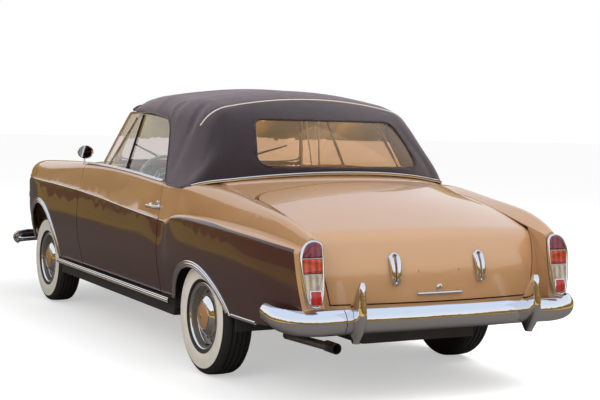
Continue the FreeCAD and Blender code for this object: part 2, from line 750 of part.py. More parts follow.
def bow_edges(row, depth):
    base, shoulder, middle = bow_chain(row, depth)
    half = rounded([base, shoulder, middle], [row["setback"]])
    bend_end = half[-1].Vertexes[0].Point
    if (bend_end - middle).Length < 1:
        bend_end = half[-1].Vertexes[1].Point
    far_end = Vector(-bend_end.x, bend_end.y, bend_end.z)
    corner = half[1]
    first, span = corner.FirstParameter, corner.LastParameter - corner.FirstParameter
    corner_points = [corner.valueAt(first + span * share) for share in (0, 0.5, 1)]
    if (corner_points[0] - bend_end).Length < (corner_points[2] - bend_end).Length:
        corner_points.reverse()
    far_corner = [Vector(-point.x, point.y, point.z) for point in reversed(corner_points)]
    return [
        line(base, corner_points[0]), arc(*corner_points), arc(bend_end, middle, far_end),
        arc(*far_corner), line(far_corner[2], Vector(-base.x, base.y, base.z)),
    ]


def bow_wire(row, outer, inner):
    there = bow_edges(row, outer)
    back = bow_edges(row, inner)
    base_out, base_in = bow_chain(row, outer)[0], bow_chain(row, inner)[0]
    far_out = Vector(-base_out.x, base_out.y, base_out.z)
    far_in = Vector(-base_in.x, base_in.y, base_in.z)
    return Part.Wire(there + [line(far_out, far_in)] + list(reversed(back)) + [line(base_in, base_out)])


bow_rows = [dict(zip(BOW_COLUMNS, row)) for row in BOWS]
cloth = loft([bow_wire(row, 0, dim("top_cloth")) for row in bow_rows], degree=3)
window_sheet = loft([bow_wire(row, 4, 6) for row in bow_rows], degree=3)


OPEN_FRONT = [(-900, 600), (-900, 1344)]
rear_window_cut = front_prism(((506, 1066), (432, 1312)), (60, 60), 900, 1700)
rear_window_pane = front_prism(((505.5, 1066.5), (431.5, 1311.5)), (60, 60), 900, 1700)
header_left, header_middle, header_right = place(700, -262, 0), place(0, -440, 0), place(-700, -262, 0)
far_left = Vector(header_left.x, -3000, header_left.z)
far_right = Vector(header_right.x, -3000, header_left.z)
ahead_of_header = prism([
    arc(header_left, header_middle, header_right), line(header_right, far_right),
    line(far_right, far_left), line(far_left, header_left),
], Vector(0, 0, 3000))
top = cloth.cut(side_window(0, OPEN_FRONT)).cut(rear_window_cut).cut(ahead_of_header)
top = top.cut([side_solid, mirrored(side_solid), frame]).cut(deck)
rear_window = window_sheet.common(rear_window_pane)
frame_pieces = frame.cut(cloth).Solids
frame = max(frame_pieces, key=lambda solid: solid.Volume)
frame_pieces = frame.cut(side_solid).cut(mirrored(side_solid)).cut(cowl_panel).Solids
keep("windshield_frame", max(frame_pieces, key=lambda solid: solid.Volume))
keep("soft_top", top)
keep("rear_window", rear_window)

pane = glass_slab(dim("glass")).common(side_window(-8, PILLAR_FRONT))
pane = pane.common(body_box((0, -2000, 0), (1200, 690, 2000)))
for side in ("left", "right"):
    keep("door_glass_" + side, pane if side == "left" else mirrored(pane))

# ---------------------------------------------------------------- floor and structure
FLOOR = "Dims.floor_level"
ANGLE = math.radians(dim("column_angle"))
WHEEL_CENTRE = place(370, -250, 872)
DOWN = Vector(0, -math.cos(ANGLE), -math.sin(ANGLE))
column_hole = Part.makeCylinder(30, 1010, WHEEL_CENTRE + DOWN * 40, DOWN)
SPINDLE = 20
SHEET = dim("sheet")


def floor_strip(points, half_low, half_high):
    """A bent sheet: its side profile, one sheet thick, run across from half_low to half_high."""
    upper = [place(0, y, z) for y, z in points]
    flat = [Vector(point.y, 0, point.z) for point in upper]
    lower = [Vector(0, point.x, point.z) for point in offset_chain(flat, SHEET)]
    ring = [Vector(half_low, point.y, point.z) for point in upper + list(reversed(lower))]
    face = Part.Face(Part.makePolygon(ring + [ring[0]]))
    return face.extrude(Vector(half_high - half_low, 0, 0))


CABIN_FLOOR = [(-905, 560), (-905, 470), (-760, 246), (640, 246), (760, 330), (1010, 330)]
TUNNEL = [
    (-905, 560), (-905, 545), (-700, 505), (-370, 482), (-320, 400), (640, 400), (700, 420), (1010, 420),
]
FLOOR_HALF = place(742, 0, 0).x - 0.3
BOOT_FLOOR = [(1010, 330), (1010, 560), (1500, 560), (1560, 420), (2260, 420)]
left_floor = floor_strip(CABIN_FLOOR, 120, FLOOR_HALF)
right_floor = floor_strip(CABIN_FLOOR, -FLOOR_HALF, -120)
tunnel_top = floor_strip(TUNNEL, -126, 126)
tunnel_walls = []
for sign in (-1, 1):
    low = place(0, -905, 240)
    wall = box(Vector(sign * 123 - 3, low.y, low.z), Vector(sign * 123 + 3, place(0, 1016, 0).y, 900))
    under = [place(0, y, z) for y, z in TUNNEL] + [place(0, 1010, 0), place(0, -905, 0)]
    ring = [Vector(-300, point.y, point.z) for point in under]
    below = Part.Face(Part.makePolygon(ring + [ring[0]])).extrude(Vector(600, 0, 0))
    tunnel_walls.append(wall.common(below))
floor_pan = left_floor.fuse([right_floor, tunnel_top] + tunnel_walls).cut(column_hole)
for sign in (-1, 1):
    low, high = sorted((sign * 561.7, sign * 900))
    floor_pan = floor_pan.cut(box(Vector(low, place(0, 868, 0).y, 0), Vector(high, 3000, 900)))
shaft_room = box(Vector(-60, place(0, 900, 0).y, 0), Vector(60, place(0, 1030, 0).y, place(0, 0, 410).z))
boot = floor_strip(BOOT_FLOOR, -561.7, 561.7)
keep("floor_pan", floor_pan)
boot_pieces = boot.cut(floor_pan).cut(valance).cut(shaft_room).Solids
keep("boot_floor", max(boot_pieces, key=lambda solid: solid.Volume))

sills = []
for sign in (-1, 1):
    low, high = place(742, -1090, 246), place(800, 865, 338)
    sill = box(low, high).cut(box(low + Vector(SKIN, 5, SKIN), high - Vector(SKIN, 5, SKIN)))
    sills.append(sill if sign > 0 else mirrored(sill))
keep("sills", Part.Compound(sills))

x_pin = place(DOOR_HINGE_X, 0, 0).x
x_arm = place(766, 0, 0).x
hinge_post = box(Vector(place(742, 0, 0).x, place(0, -700, 0).y, place(0, 0, 338.3).z),
                 Vector(place(790, 0, 0).x, place(0, -640, 0).y, place(0, 0, 930).z))
for level in HINGE_LEVELS:
    base = Vector(x_pin, hinge_y, place(0, 0, level).z)
    knuckle_boss = Part.makeCylinder(dim("hinge_boss") - 2, HINGE_HEIGHT - 29, base + Vector(0, 0, 14.5))
    pin = Part.makeCylinder(dim("hinge_pin"), HINGE_HEIGHT + 16, base - Vector(0, 0, 8))
    neck = box(Vector(x_arm, base.y - 8, base.z + 16), Vector(base.x, base.y + 8, base.z + 44))
    arm = box(Vector(x_arm, place(0, -700, 0).y + 1, base.z + 16),
              Vector(x_arm + 16, base.y + 8, base.z + 44))
    hinge_post = hinge_post.fuse([knuckle_boss, pin, neck, arm])
rear_post = box(place(742, 724, 338.3), place(800, 790, 925))
keep("door_posts", Part.Compound([hinge_post, rear_post, mirrored(hinge_post), mirrored(rear_post)]))

TUB_INNER, TUB_OUTER = 562, 800
TUB_RADIUS = HUB + 80
outer = Part.makeCylinder(TUB_RADIUS, TUB_OUTER - TUB_INNER,
                          Vector(TUB_INNER, REAR_AXLE, HUB), Vector(1, 0, 0))
inner = Part.makeCylinder(TUB_RADIUS - SHEET, TUB_OUTER - TUB_INNER,
                          Vector(TUB_INNER + SHEET, REAR_AXLE, HUB), Vector(1, 0, 0))
under = box(Vector(0, -5000, -1000), Vector(2000, 5000, HUB - 20))
axle_notch = box(Vector(0, REAR_AXLE - 60, 0), Vector(2000, REAR_AXLE + 60, HUB + 90))
tub = outer.cut(inner).cut(under).cut(axle_notch)
keep("rear_wheelhouses", Part.Compound([tub, mirrored(tub)]))

aprons = []
for sign in (-1, 1):
    rail = box(place(392, -2120, 262), place(440, -911.3, 342))
    apron = box(place(436, -2120, 342), place(440, -911.3, 835))
    aprons += [rail.fuse(apron) if sign > 0 else mirrored(rail.fuse(apron))]
support = box(place(-392, -2120, 300), place(392, -2108, 835))
support = support.cut(box(place(-250, -2200, 380), place(250, -2000, 800)))
keep("front_rails", Part.Compound(aprons + [support]))
bulkhead = box(place(-735, -911, 560.3), place(735, -905, 940)).cut(column_hole)
keep("bulkhead", bulkhead.cut(hinge_brackets[0]).cut(hinge_brackets[1]))

# ---------------------------------------------------------------- engine and driveline
engine_base = ("-150", "%.1f" % place(0, -1720, 0).y, "Dims.tyre_radius - 11")
engine = brick("engine_block", ("300", "640", "430"), engine_base)
engine.Label = "engine_block"
parts.append(engine)
core_end = place(0, -1080, 0).y
bell = doc.addObject("Part::Cone", "gearbox_bell")
bell.Radius1, bell.Radius2, bell.Height = 150, 80, 300
bell.Placement = FreeCAD.Placement(Vector(0, core_end, HUB + 110), FreeCAD.Rotation(Vector(1, 0, 0), -90))
box_gear = brick("gearbox_case", ("140", "420", "150"),
                 ("-70", "%.1f" % (core_end + 280), "Dims.tyre_radius + 10"))
shaft = rod("propeller_shaft", "32", "%.1f" % (REAR_AXLE - 160.3 - core_end - 690),
            ("0", "%.1f" % (core_end + 690), "Dims.tyre_radius + 30"), ("1", "0", "0", "-90"))
grouped("driveline", [bell, box_gear, shaft])
diff_y = "%.1f" % REAR_AXLE
pump = doc.addObject("Part::Sphere", "differential")
pump.Radius = 118
pump.Placement = FreeCAD.Placement(Vector(0, 0, 0), FreeCAD.Rotation(Vector(0, 1, 0), 90))
bind(pump, Placement__Base__y=diff_y, Placement__Base__z="Dims.tyre_radius")
axle_bar = rod("axle_tubes", "Dims.axle_tube", "Dims.track_rear - 190",
               ("-(Dims.track_rear - 190) / 2", diff_y, "Dims.tyre_radius"))
nose = rod("pinion_nose", "44", "120", ("0", "%.1f" % (REAR_AXLE - 160), "Dims.tyre_radius + 30"),
           ("1", "0", "0", "-90"))
ends = rod("rear_spindles", f"{SPINDLE}", "Dims.track_rear + 44",
           ("-Dims.track_rear / 2 - 22", diff_y, "Dims.tyre_radius"))
grouped("rear_axle", [pump, axle_bar, ends, nose])
arms = []
for sign in (-1, 1):
    arm = tube_along([place(sign * 470, 720, 262), Vector(sign * 470, REAR_AXLE - 20, HUB - 62)], 22)
    cup = Part.makeCylinder(62, 12, Vector(sign * 470, REAR_AXLE, HUB + 34))
    saddle = Part.makeCylinder(30, 96, Vector(sign * 470, REAR_AXLE, HUB - 62))
    spring_base = HUB + 46.3
    spring = Part.makeCylinder(48, place(0, 0, 553.7).z - spring_base,
                               Vector(sign * 470, REAR_AXLE, spring_base))
    arms.append(spring.cut(Part.makeCylinder(36, 400, Vector(sign * 470, REAR_AXLE, HUB))))
    tube = Part.makeCylinder(dim("axle_tube") + 0.3, 1600, Vector(-800, REAR_AXLE, HUB), Vector(1, 0, 0))
    arms.append(arm.fuse([cup, saddle]).cut(tube))
keep("rear_suspension", Part.Compound(arms))

# ---------------------------------------------------------------- wheels and tyres
WHEEL = [
    ("-66", "R+11"), ("-60", "R+11"), ("-58", "R-3"), ("-34", "R-5"), ("-26", "R-26"), ("6", "R-26"),
    ("14", "R-5"), ("58", "R-3"), ("60", "R+11"), ("66", "R+11"), ("64", "R-8"), ("22", "R-10"),
    ("13", "R-32"), ("36", "104"), ("48", "88"), ("36", "62"), ("36", "0"), ("28", "0"), ("28", "64"),
    ("40", "88"), ("29", "100"), ("5", "R-33"), ("-31", "R-31"), ("-39", "R-10"), ("-64", "R-8"),
]
CAP = [
    ("36.3", "104.5"), ("38", "108"), ("52", "103"), ("66", "80"), ("80", "38"), ("84", "0"),
    ("81", "0"), ("77", "37"), ("63", "78"), ("50", "99"), ("40", "104"),
]
DRUM = [
    ("-44", "B"), ("-44", "126"), ("3", "126"), ("6", "118"), ("6", "60"), ("28", "60"), ("28", "B"),
]


def signed(corners, sign):
    """Outline corners for the left (+) or right (-) side, with the sheet's names filled in."""
    ready = []
    for across, up in corners:
        up = up.replace("R", "Dims.rim_radius ").replace("B", f"{SPINDLE} + Dims.running_clearance")
        ready.append((f"{sign} * ({across})", up))
    return ready


HUBS = {
    "front_left": (1, "Dims.track_front / 2", FRONT_AXLE),
    "front_right": (-1, "-Dims.track_front / 2", FRONT_AXLE),
    "rear_left": (1, "Dims.track_rear / 2", REAR_AXLE),
    "rear_right": (-1, "-Dims.track_rear / 2", REAR_AXLE),
}


def tyre_shape():
    """A hollow tyre round the X axis, seated just off the rim's bead seats."""
    bead, half, crown = dim("rim_radius") - 2, dim("tyre_width") / 2, dim("tyre_radius")
    wall = 12

    def at(x, r):
        return Vector(x, 0, r)

    side_z = bead + (crown - bead) * 0.52
    edges = [
        line(at(40, bead), at(57.5, bead)), line(at(57.5, bead), at(57.5, bead + 17)),
        arc(at(57.5, bead + 17), at(half, side_z), at(half - 16, crown - 11)),
        arc(at(half - 16, crown - 11), at(half - 20, crown - 4.6), at(half - 27, crown - 1.6)),
        arc(at(half - 27, crown - 1.6), at(0, crown), at(27 - half, crown - 1.6)),
        arc(at(27 - half, crown - 1.6), at(20 - half, crown - 4.6), at(16 - half, crown - 11)),
        arc(at(16 - half, crown - 11), at(-half, side_z), at(-57.5, bead + 17)),
        line(at(-57.5, bead + 17), at(-57.5, bead)), line(at(-57.5, bead), at(-40, bead)),
        line(at(-40, bead), at(-46, bead + 16)),
        arc(at(-46, bead + 16), at(wall - half, side_z), at(26 - half, crown - 18)),
        arc(at(26 - half, crown - 18), at(0, crown - wall), at(half - 26, crown - 18)),
        arc(at(half - 26, crown - 18), at(half - wall, side_z), at(46, bead + 16)),
        line(at(46, bead + 16), at(40, bead)),
    ]
    return Part.Face(Part.Wire(edges)).revolve(Vector(0, 0, 0), Vector(1, 0, 0), 360)


tyre = tyre_shape()
for corner, (sign, hub_x, hub_y) in HUBS.items():
    base = (hub_x, "%.3f" % hub_y, "Dims.tyre_radius")
    pieces = [turned(f"{piece}_{corner}", signed(shape, sign), base)
              for piece, shape in (("rim", WHEEL), ("cap", CAP), ("drum", DRUM))]
    grouped("wheel_" + corner, pieces, fused=False)
    round_tyre = doc.addObject("Part::Feature", "tyre_" + corner)
    round_tyre.Label = "tyre_" + corner
    round_tyre.Shape = tyre
    bind(round_tyre, Placement__Base__x=base[0], Placement__Base__y=base[1], Placement__Base__z=base[2])
    parts.append(round_tyre)

# ---------------------------------------------------------------- front suspension and steering
PIN_X = dim("track_front") / 2 - dim("kingpin_inset")
PIN_R = dim("kingpin_radius")
ARM = dim("steer_arm")
SLEEVE_HALF = 92
EYE_Z = HUB - 85


def knuckle():
    """Steering knuckle: sleeve on the kingpin, spindle, brake plate and steering arm."""
    centre = Vector(PIN_X, FRONT_AXLE, HUB)
    sleeve = Part.makeCylinder(PIN_R + 9, SLEEVE_HALF * 2, centre - Vector(0, 0, SLEEVE_HALF))
    spindle = Part.makeCylinder(SPINDLE, dim("kingpin_inset") + 22, centre, Vector(1, 0, 0))
    collar = Part.makeCone(42, 28, 40, centre + Vector(6, 0, 0), Vector(1, 0, 0))
    plate = Part.makeCylinder(124, 5, Vector(dim("track_front") / 2 - 58, FRONT_AXLE, HUB), Vector(1, 0, 0))
    end = Vector(PIN_X, FRONT_AXLE + ARM, EYE_Z)
    arm = box(Vector(PIN_X - 9, FRONT_AXLE + 6, EYE_Z), Vector(PIN_X + 9, end.y, EYE_Z + 20))
    eye = Part.makeCylinder(15, 20, end)
    bore = Part.makeCylinder(PIN_R + dim("running_clearance"), 400, centre - Vector(0, 0, 200))
    return sleeve.fuse([spindle, collar, plate, arm, eye]).cut(bore)


knuckle_left = knuckle()
keep("knuckle_left", knuckle_left)
keep("knuckle_right", mirrored(knuckle_left))

REACH = 138
LOWER_ARM = (-REACH, 352, 232, 95)
UPPER_ARM = (REACH - 26, 462, 425, 70)
cross = box(Vector(-place(440, 0, 0).x, FRONT_AXLE - 60, place(0, 0, 205).z),
            Vector(place(440, 0, 0).x, FRONT_AXLE + 60, place(0, 0, 262).z))
centre = Vector(PIN_X, FRONT_AXLE, HUB)
kingpin = Part.makeCylinder(PIN_R, REACH * 2, centre - Vector(0, 0, REACH))
arm_pieces = []
for lift, inner_x, inner_z, spread in (LOWER_ARM, UPPER_ARM):
    base = centre + Vector(0, 0, lift)
    arm_pieces.append(Part.makeCylinder(PIN_R + 9, 26, base))
    for side in (-1, 1):
        start = base + Vector(-6, side * 8, 13)
        end = Vector(place(inner_x, 0, 0).x, FRONT_AXLE + side * spread, place(0, 0, inner_z).z)
        arm_pieces.append(Part.makeCylinder(11, (end - start).Length, start, end - start))
        arm_pieces.append(Part.makeSphere(11, end))
tower = box(Vector(place(440, 0, 0).x, FRONT_AXLE - 84, place(0, 0, 342).z),
            Vector(place(470, 0, 0).x, FRONT_AXLE + 84, place(0, 0, 440).z))
pivot_base = Vector(place(352, 0, 0).x, FRONT_AXLE - 110, place(0, 0, 232).z)
pivot = Part.makeCylinder(15, 220, pivot_base, Vector(0, 1, 0))
half = kingpin.fuse(arm_pieces + [tower, pivot])
mount_pads = []
for x in (-100, 100):
    pad_low = Vector(x - 30, FRONT_AXLE - 40, place(0, 0, 262).z)
    mount_pads.append(box(pad_low, Vector(x + 30, FRONT_AXLE + 40, HUB - 11.3)))
keep("front_suspension", cross.fuse([half, mirrored(half)] + mount_pads))

rod_z = EYE_Z - 0.5
eye_y = FRONT_AXLE + ARM
bar = Part.makeCylinder(9, PIN_X * 2, Vector(-PIN_X, eye_y, rod_z - 10), Vector(1, 0, 0))
tie_eyes = [Part.makeCylinder(15, 20, Vector(x, eye_y, rod_z - 20)) for x in (-PIN_X, PIN_X)]
keep("tie_rod", bar.fuse(tie_eyes))

column_low = WHEEL_CENTRE + DOWN * 1010
column = Part.makeCylinder(24, 930, WHEEL_CENTRE + DOWN * 40, DOWN)
shaft = Part.makeCylinder(9, 80, WHEEL_CENTRE - DOWN * 22, DOWN)
box_low = Vector(WHEEL_CENTRE.x - 35, column_low.y - 90, column_low.z - 60)
gear_case = box(box_low, Vector(place(436, 0, 0).x, column_low.y + 60, column_low.z + 50))
keep("steering_column", column.fuse([shaft, gear_case]))

RING = dim("steering_wheel_radius")
ring = Part.makeTorus(RING, 11, WHEEL_CENTRE, DOWN)
hub = Part.makeCylinder(34, 30, WHEEL_CENTRE + DOWN * 34 - DOWN * 30, DOWN)
across = Vector(1, 0, 0)
up_face = DOWN.cross(across)
spokes = []
for angle in (0, 180, 270):
    turn = math.radians(angle)
    reach = across * math.cos(turn) + up_face * math.sin(turn)
    spokes.append(Part.makeCylinder(8, RING - 2, WHEEL_CENTRE + DOWN * 14, reach * (RING - 2) - DOWN * 14))
horn_ring = Part.makeTorus(96, 4, WHEEL_CENTRE + DOWN * 6, DOWN)
wheel_bore = Part.makeCylinder(9 + dim("running_clearance"), 400, WHEEL_CENTRE - DOWN * 23, DOWN)
keep("steering_wheel", ring.fuse([hub] + spokes + [horn_ring]).cut(wheel_bore))

# ---------------------------------------------------------------- cabin
DASH = [(-640, 900), (-640, 1040), (-560, 1040), (-520, 985), (-505, 930), (-520, 790), (-600, 780)]


def cross_beam(points, half_low, half_high):
    ring = [place(0, y, z) for y, z in points]
    ring = [Vector(half_low, point.y, point.z) for point in ring]
    return Part.Face(Part.makePolygon(ring + [ring[0]])).extrude(Vector(half_high - half_low, 0, 0))


inner_half = place(734, 0, 0).x
under_cowl = loft([hood_section(row, 300) for row in hood_rows]).cut(upper_front)
under_cowl.translate(Vector(0, 0, -0.3))
dash = cross_beam(DASH, -inner_half, inner_half).common(under_cowl)
keep("dashboard", dash)
SEAT_CUSHION = [(-150, 330), (-170, 455), (-120, 492), (250, 462), (330, 470), (330, 330)]
SEAT_BACK = [(255, 462.8), (215, 520), (330, 900), (372, 925), (420, 905), (345, 470.3), (330, 470.3)]
for side, sign in (("left", 1), ("right", -1)):
    low, high = sorted((sign * place(150, 0, 0).x, sign * place(660, 0, 0).x))
    cushion = cross_beam(SEAT_CUSHION, low, high)
    keep("front_seat_" + side, Part.Compound([cushion, cross_beam(SEAT_BACK, low, high)]))
rails = []
for x in (180, 560, -230, -610):
    rails.append(box(place(x, -130, 246), place(x + 50, 320, 329.5)))
keep("seat_rails", Part.Compound(rails))
REAR_CUSHION = [(650, 330.3), (640, 470), (690, 490), (930, 450), (930, 330.3)]
REAR_BACK = [(932, 400), (860, 470), (900, 860), (940, 890), (985, 870), (985, 400)]
tunnel_room = box(Vector(-133, place(0, 600, 0).y, 0), Vector(133, place(0, 1010, 0).y, place(0, 0, 421).z))
rear_cushion = cross_beam(REAR_CUSHION, -545, 545).cut(tunnel_room)
rear_back = cross_beam(REAR_BACK, -545, 545).cut(tunnel_room)
rear_cushion = rear_cushion.cut(rear_back)
keep("rear_seat", Part.Compound([rear_cushion, rear_back]))

# ---------------------------------------------------------------- bumpers and lamps
REAR_BAR = [
    (0, 2262, 348, 462), (300, 2260, 348, 462), (560, 2256, 348, 463), (729, 2245, 350, 465),
    (812, 2210, 358, 469), (858, 2150, 368, 473), (870, 2080, 380, 477), (864, 2012, 396, 480),
]
FRONT_BAR = [
    (0, -2296, 345, 435), (300, -2288, 345, 435), (520, -2264, 345, 435), (690, -2222, 345, 435),
    (800, -2160, 345, 435), (858, -2085, 345, 435), (874, -2010, 345, 435),
]


def bar_section(path, index, z_low, z_high):
    """The bar's bulged channel at one station of its plan path, square to the path."""
    here = path[index]
    ahead = path[min(index + 1, len(path) - 1)]
    behind = path[max(index - 1, 0)]
    if index == 0:
        behind = Vector(-ahead.x, ahead.y, 0)
    along = (ahead - behind).normalize()
    outward = Vector(abs(along.y), -along.x if path[0].y < 0 else along.x, 0)
    outward.y = abs(outward.y) * (1 if path[0].y > 0 else -1)
    back = here - outward * 34
    low, high = Vector(0, 0, z_low), Vector(0, 0, z_high)
    middle = Vector(0, 0, (z_low + z_high) / 2)
    inner = 5
    lift = Vector(0, 0, inner)
    edge = back + outward * (1 - inner)
    upper_lip, lower_lip = edge + high - lift, edge + low + lift
    return Part.Wire([
        arc(back + low, here + middle, back + high), line(back + high, upper_lip),
        arc(upper_lip, here - outward * inner + middle, lower_lip), line(lower_lip, back + low),
    ])


def bar(stations):
    """The whole bar from its left half's stations: plan place, lower and upper edge."""
    path = [place(x, y, 0) for x, y, low, high in stations]
    for point in path:
        point.z = 0
    wires = [bar_section(path, index, place(0, 0, low).z, place(0, 0, high).z)
             for index, (x, y, low, high) in enumerate(stations)]
    half = loft(wires, degree=2)
    return half.fuse(mirrored(half))


OVERRIDER_COLUMNS = ("level", "half_width", "back", "front")
OVERRIDER = [(312, 17, 2236, 2276), (365, 24, 2196, 2312), (425, 27, 2190, 2335), (500, 24, 2226, 2330),
             (570, 18, 2264, 2318), (596, 9, 2280, 2306)]


def overrider(x, drop, facing):
    """An upright guard lofted through ellipses, drop lower at the front of the car."""
    wires = []
    for row in (dict(zip(OVERRIDER_COLUMNS, values)) for values in OVERRIDER):
        back, front = place(0, facing * row["back"], 0).y, place(0, facing * row["front"], 0).y
        centre = place(x, 0, row["level"] - drop)
        centre.y = (back + front) / 2
        half_depth = abs(front - back) / 2
        flat = Part.Ellipse(Vector(0, 0, 0), half_depth, row["half_width"]).toShape()
        flat.Placement = FreeCAD.Placement(centre, FreeCAD.Rotation(Vector(0, 0, 1), 90))
        wires.append(Part.Wire(flat))
    return loft(wires)


rear_bar = bar(REAR_BAR)
front_bar = bar(FRONT_BAR)
rear_pieces, front_pieces = [], []
for sign in (-1, 1):
    rear_pieces.append(overrider(sign * 494, 0, 1))
    front_pieces.append(overrider(sign * 400, 20, -1))
    low, high = sorted((sign * place(380, 0, 0).x, sign * place(408, 0, 0).x))
    rear_pieces.append(box(Vector(low, place(0, 2000, 0).y, place(0, 0, 398).z),
                           Vector(high, place(0, 2238, 0).y, place(0, 0, 413.7).z)))
    low, high = sorted((sign * place(400, 0, 0).x, sign * place(430, 0, 0).x))
    front_pieces.append(box(Vector(low, place(0, -2274, 0).y, place(0, 0, 342.3).z),
                            Vector(high, place(0, -2000, 0).y, place(0, 0, 362).z)))
for tool in (side_solid, mirrored(side_solid), valance):
    rear_bar = rear_bar.cut(tool)
rear_whole = rear_bar
for piece in rear_pieces:
    rear_whole = rear_whole.fuse(piece.cut(valance))
keep("rear_bumper", rear_whole)
keep("front_bumper", front_bar.fuse(front_pieces))

LAMP_PROUD = 26
LAMP_OUTLINE = [
    (664, 480), (728, 480), (756, 600), (759, 690), (744, 768),
    (697, 780), (652, 768), (646, 690), (652, 580),
]
LAMP_ARCS = (14, 30, 20, 18, 10, 18, 20, 30, 14)
lamp_ring = [place(x, 0, z) for x, z in LAMP_OUTLINE]
start = (lamp_ring[0] + lamp_ring[1]) * 0.5
lamp_edges = rounded([start] + lamp_ring[1:] + [lamp_ring[0], start], LAMP_ARCS)
lamp_block = Part.Face(Part.Wire(lamp_edges)).extrude(Vector(0, 400, 0))
lamp_block.translate(Vector(0, place(0, 2050, 0).y, 0))
tail_lamp = lamp_block.common(behind_tail(0)).cut(behind_tail(-LAMP_PROUD))
keep("tail_lamps", Part.Compound([tail_lamp, mirrored(tail_lamp)]))

LAMP_X, LAMP_Z = 618, 700
lamp_base = place(LAMP_X, -2170, LAMP_Z)
FORWARD = Vector(0, -1, 0)
lamp_face = lamp_base + FORWARD * 12
bezel = Part.makeCylinder(96, 34, lamp_base, FORWARD).cut(Part.makeCylinder(80, 40, lamp_face, FORWARD))
dome = Part.makeSphere(150, lamp_base - FORWARD * 112)
lens = dome.common(Part.makeCylinder(79.7, 80, lamp_face, FORWARD))
keep("headlamps", Part.Compound([bezel, lens, mirrored(bezel), mirrored(lens)]))

# ---------------------------------------------------------------- exhaust, tank and small fittings
PIPE_RUN = [
    (188, -1200, 400), (200, -1010, 214), (290, -600, 200), (290, 900, 200), (300, 1420, 206),
    (552, 1700, 262), (555, 2176, 280),
]
pipe_points = [place(*point) for point in PIPE_RUN]
pipe = tube_along(pipe_points, 20)
muffler = Part.makeCylinder(45, 520, place(290, 180, 190), Vector(0, 1, 0))
tip = Part.makeCylinder(26, 90, place(555, 2100, 280), Vector(0, 1, 0)).cut(
    Part.makeCylinder(22, 80, place(555, 2112, 280), Vector(0, 1, 0)))
manifold = box(Vector(150.3, place(0, -1620, 0).y, HUB + 79), Vector(208, place(0, -1150, 0).y, HUB + 129))
pipe = pipe.fuse(manifold)
tip_bore = Part.makeCylinder(22, 200, place(555, 2112, 280), Vector(0, 1, 0))
keep("exhaust", pipe.cut(tip_bore).fuse([muffler, tip]))
tank = box(place(-330, 1680, 262), place(330, 2040, 413.7))
keep("fuel_tank", tank.makeFillet(24, [edge for edge in tank.Edges if edge.BoundBox.ZLength > 100]))

mirror_foot = place(778, -660, 1000)
stem = Part.makeCylinder(6, 70, mirror_foot, Vector(0.25, 0, 1)).cut(side_solid)
head_centre = mirror_foot + Vector(18, 0, 84)
head = Part.makeCone(48, 24, 26, head_centre, FORWARD)
keep("door_mirror", head.fuse(max(stem.Solids, key=lambda solid: solid.Volume)))

doc.recompute()
for item in doc.Objects:
    if "Invalid" in item.State or "Error" in item.State:
        raise RuntimeError(f"{item.Label} is not built: {item.State}")
for feature in parts:
    if feature.Shape.isNull() or not feature.Shape.isValid():
        raise RuntimeError(f"{feature.Label} has a bad shape")
for feature in parts:
    feature.Shape.exportStep(f"parts/{feature.Label}.step")
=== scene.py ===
import math

import bmesh
import bpy
from mathutils import Matrix, Vector
from mathutils.bvhtree import BVHTree


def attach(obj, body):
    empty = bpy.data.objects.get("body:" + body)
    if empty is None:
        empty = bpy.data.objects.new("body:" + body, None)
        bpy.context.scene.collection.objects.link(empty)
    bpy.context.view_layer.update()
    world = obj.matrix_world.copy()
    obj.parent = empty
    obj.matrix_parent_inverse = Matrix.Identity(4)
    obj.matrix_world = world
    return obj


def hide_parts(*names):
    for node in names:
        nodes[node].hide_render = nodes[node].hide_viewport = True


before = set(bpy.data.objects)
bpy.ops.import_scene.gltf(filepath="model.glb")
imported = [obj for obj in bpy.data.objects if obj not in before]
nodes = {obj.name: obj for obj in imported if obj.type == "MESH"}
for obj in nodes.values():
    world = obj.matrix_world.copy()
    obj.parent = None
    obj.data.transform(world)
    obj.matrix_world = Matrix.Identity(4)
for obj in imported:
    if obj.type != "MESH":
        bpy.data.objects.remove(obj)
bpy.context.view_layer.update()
scene = bpy.context.scene
print("frame loaded", len(nodes), "nodes")

# ---- camera, matched to the three-quarter rear view
camera = {"place": (3.4084, 7.0556, 1.3306), "azimuth": 151.486, "elevation": 3.802, "roll": 1.492,
          "lens": 74.98}


def aimCamera():
    azimuth, elevation, roll = (math.radians(camera[k]) for k in ("azimuth", "elevation", "roll"))
    level = math.cos(elevation)
    back = Vector((math.sin(azimuth) * level, -math.cos(azimuth) * level, math.sin(elevation)))
    side = (-back).cross(Vector((0, 0, 1))).normalized()
    up = side.cross(-back)
    right = side * math.cos(roll) + up * math.sin(roll)
    top = up * math.cos(roll) - side * math.sin(roll)
    data = bpy.data.cameras.new("camera")
    data.lens = camera["lens"]
    data.sensor_width = 36
    data.clip_end = 200
    obj = bpy.data.objects.new("camera", data)
    scene.collection.objects.link(obj)
    turn = Matrix((right, top, back)).transposed().to_4x4()
    obj.matrix_world = Matrix.Translation(camera["place"]) @ turn
    scene.camera = obj


aimCamera()
scene.view_settings.view_transform = "Standard"


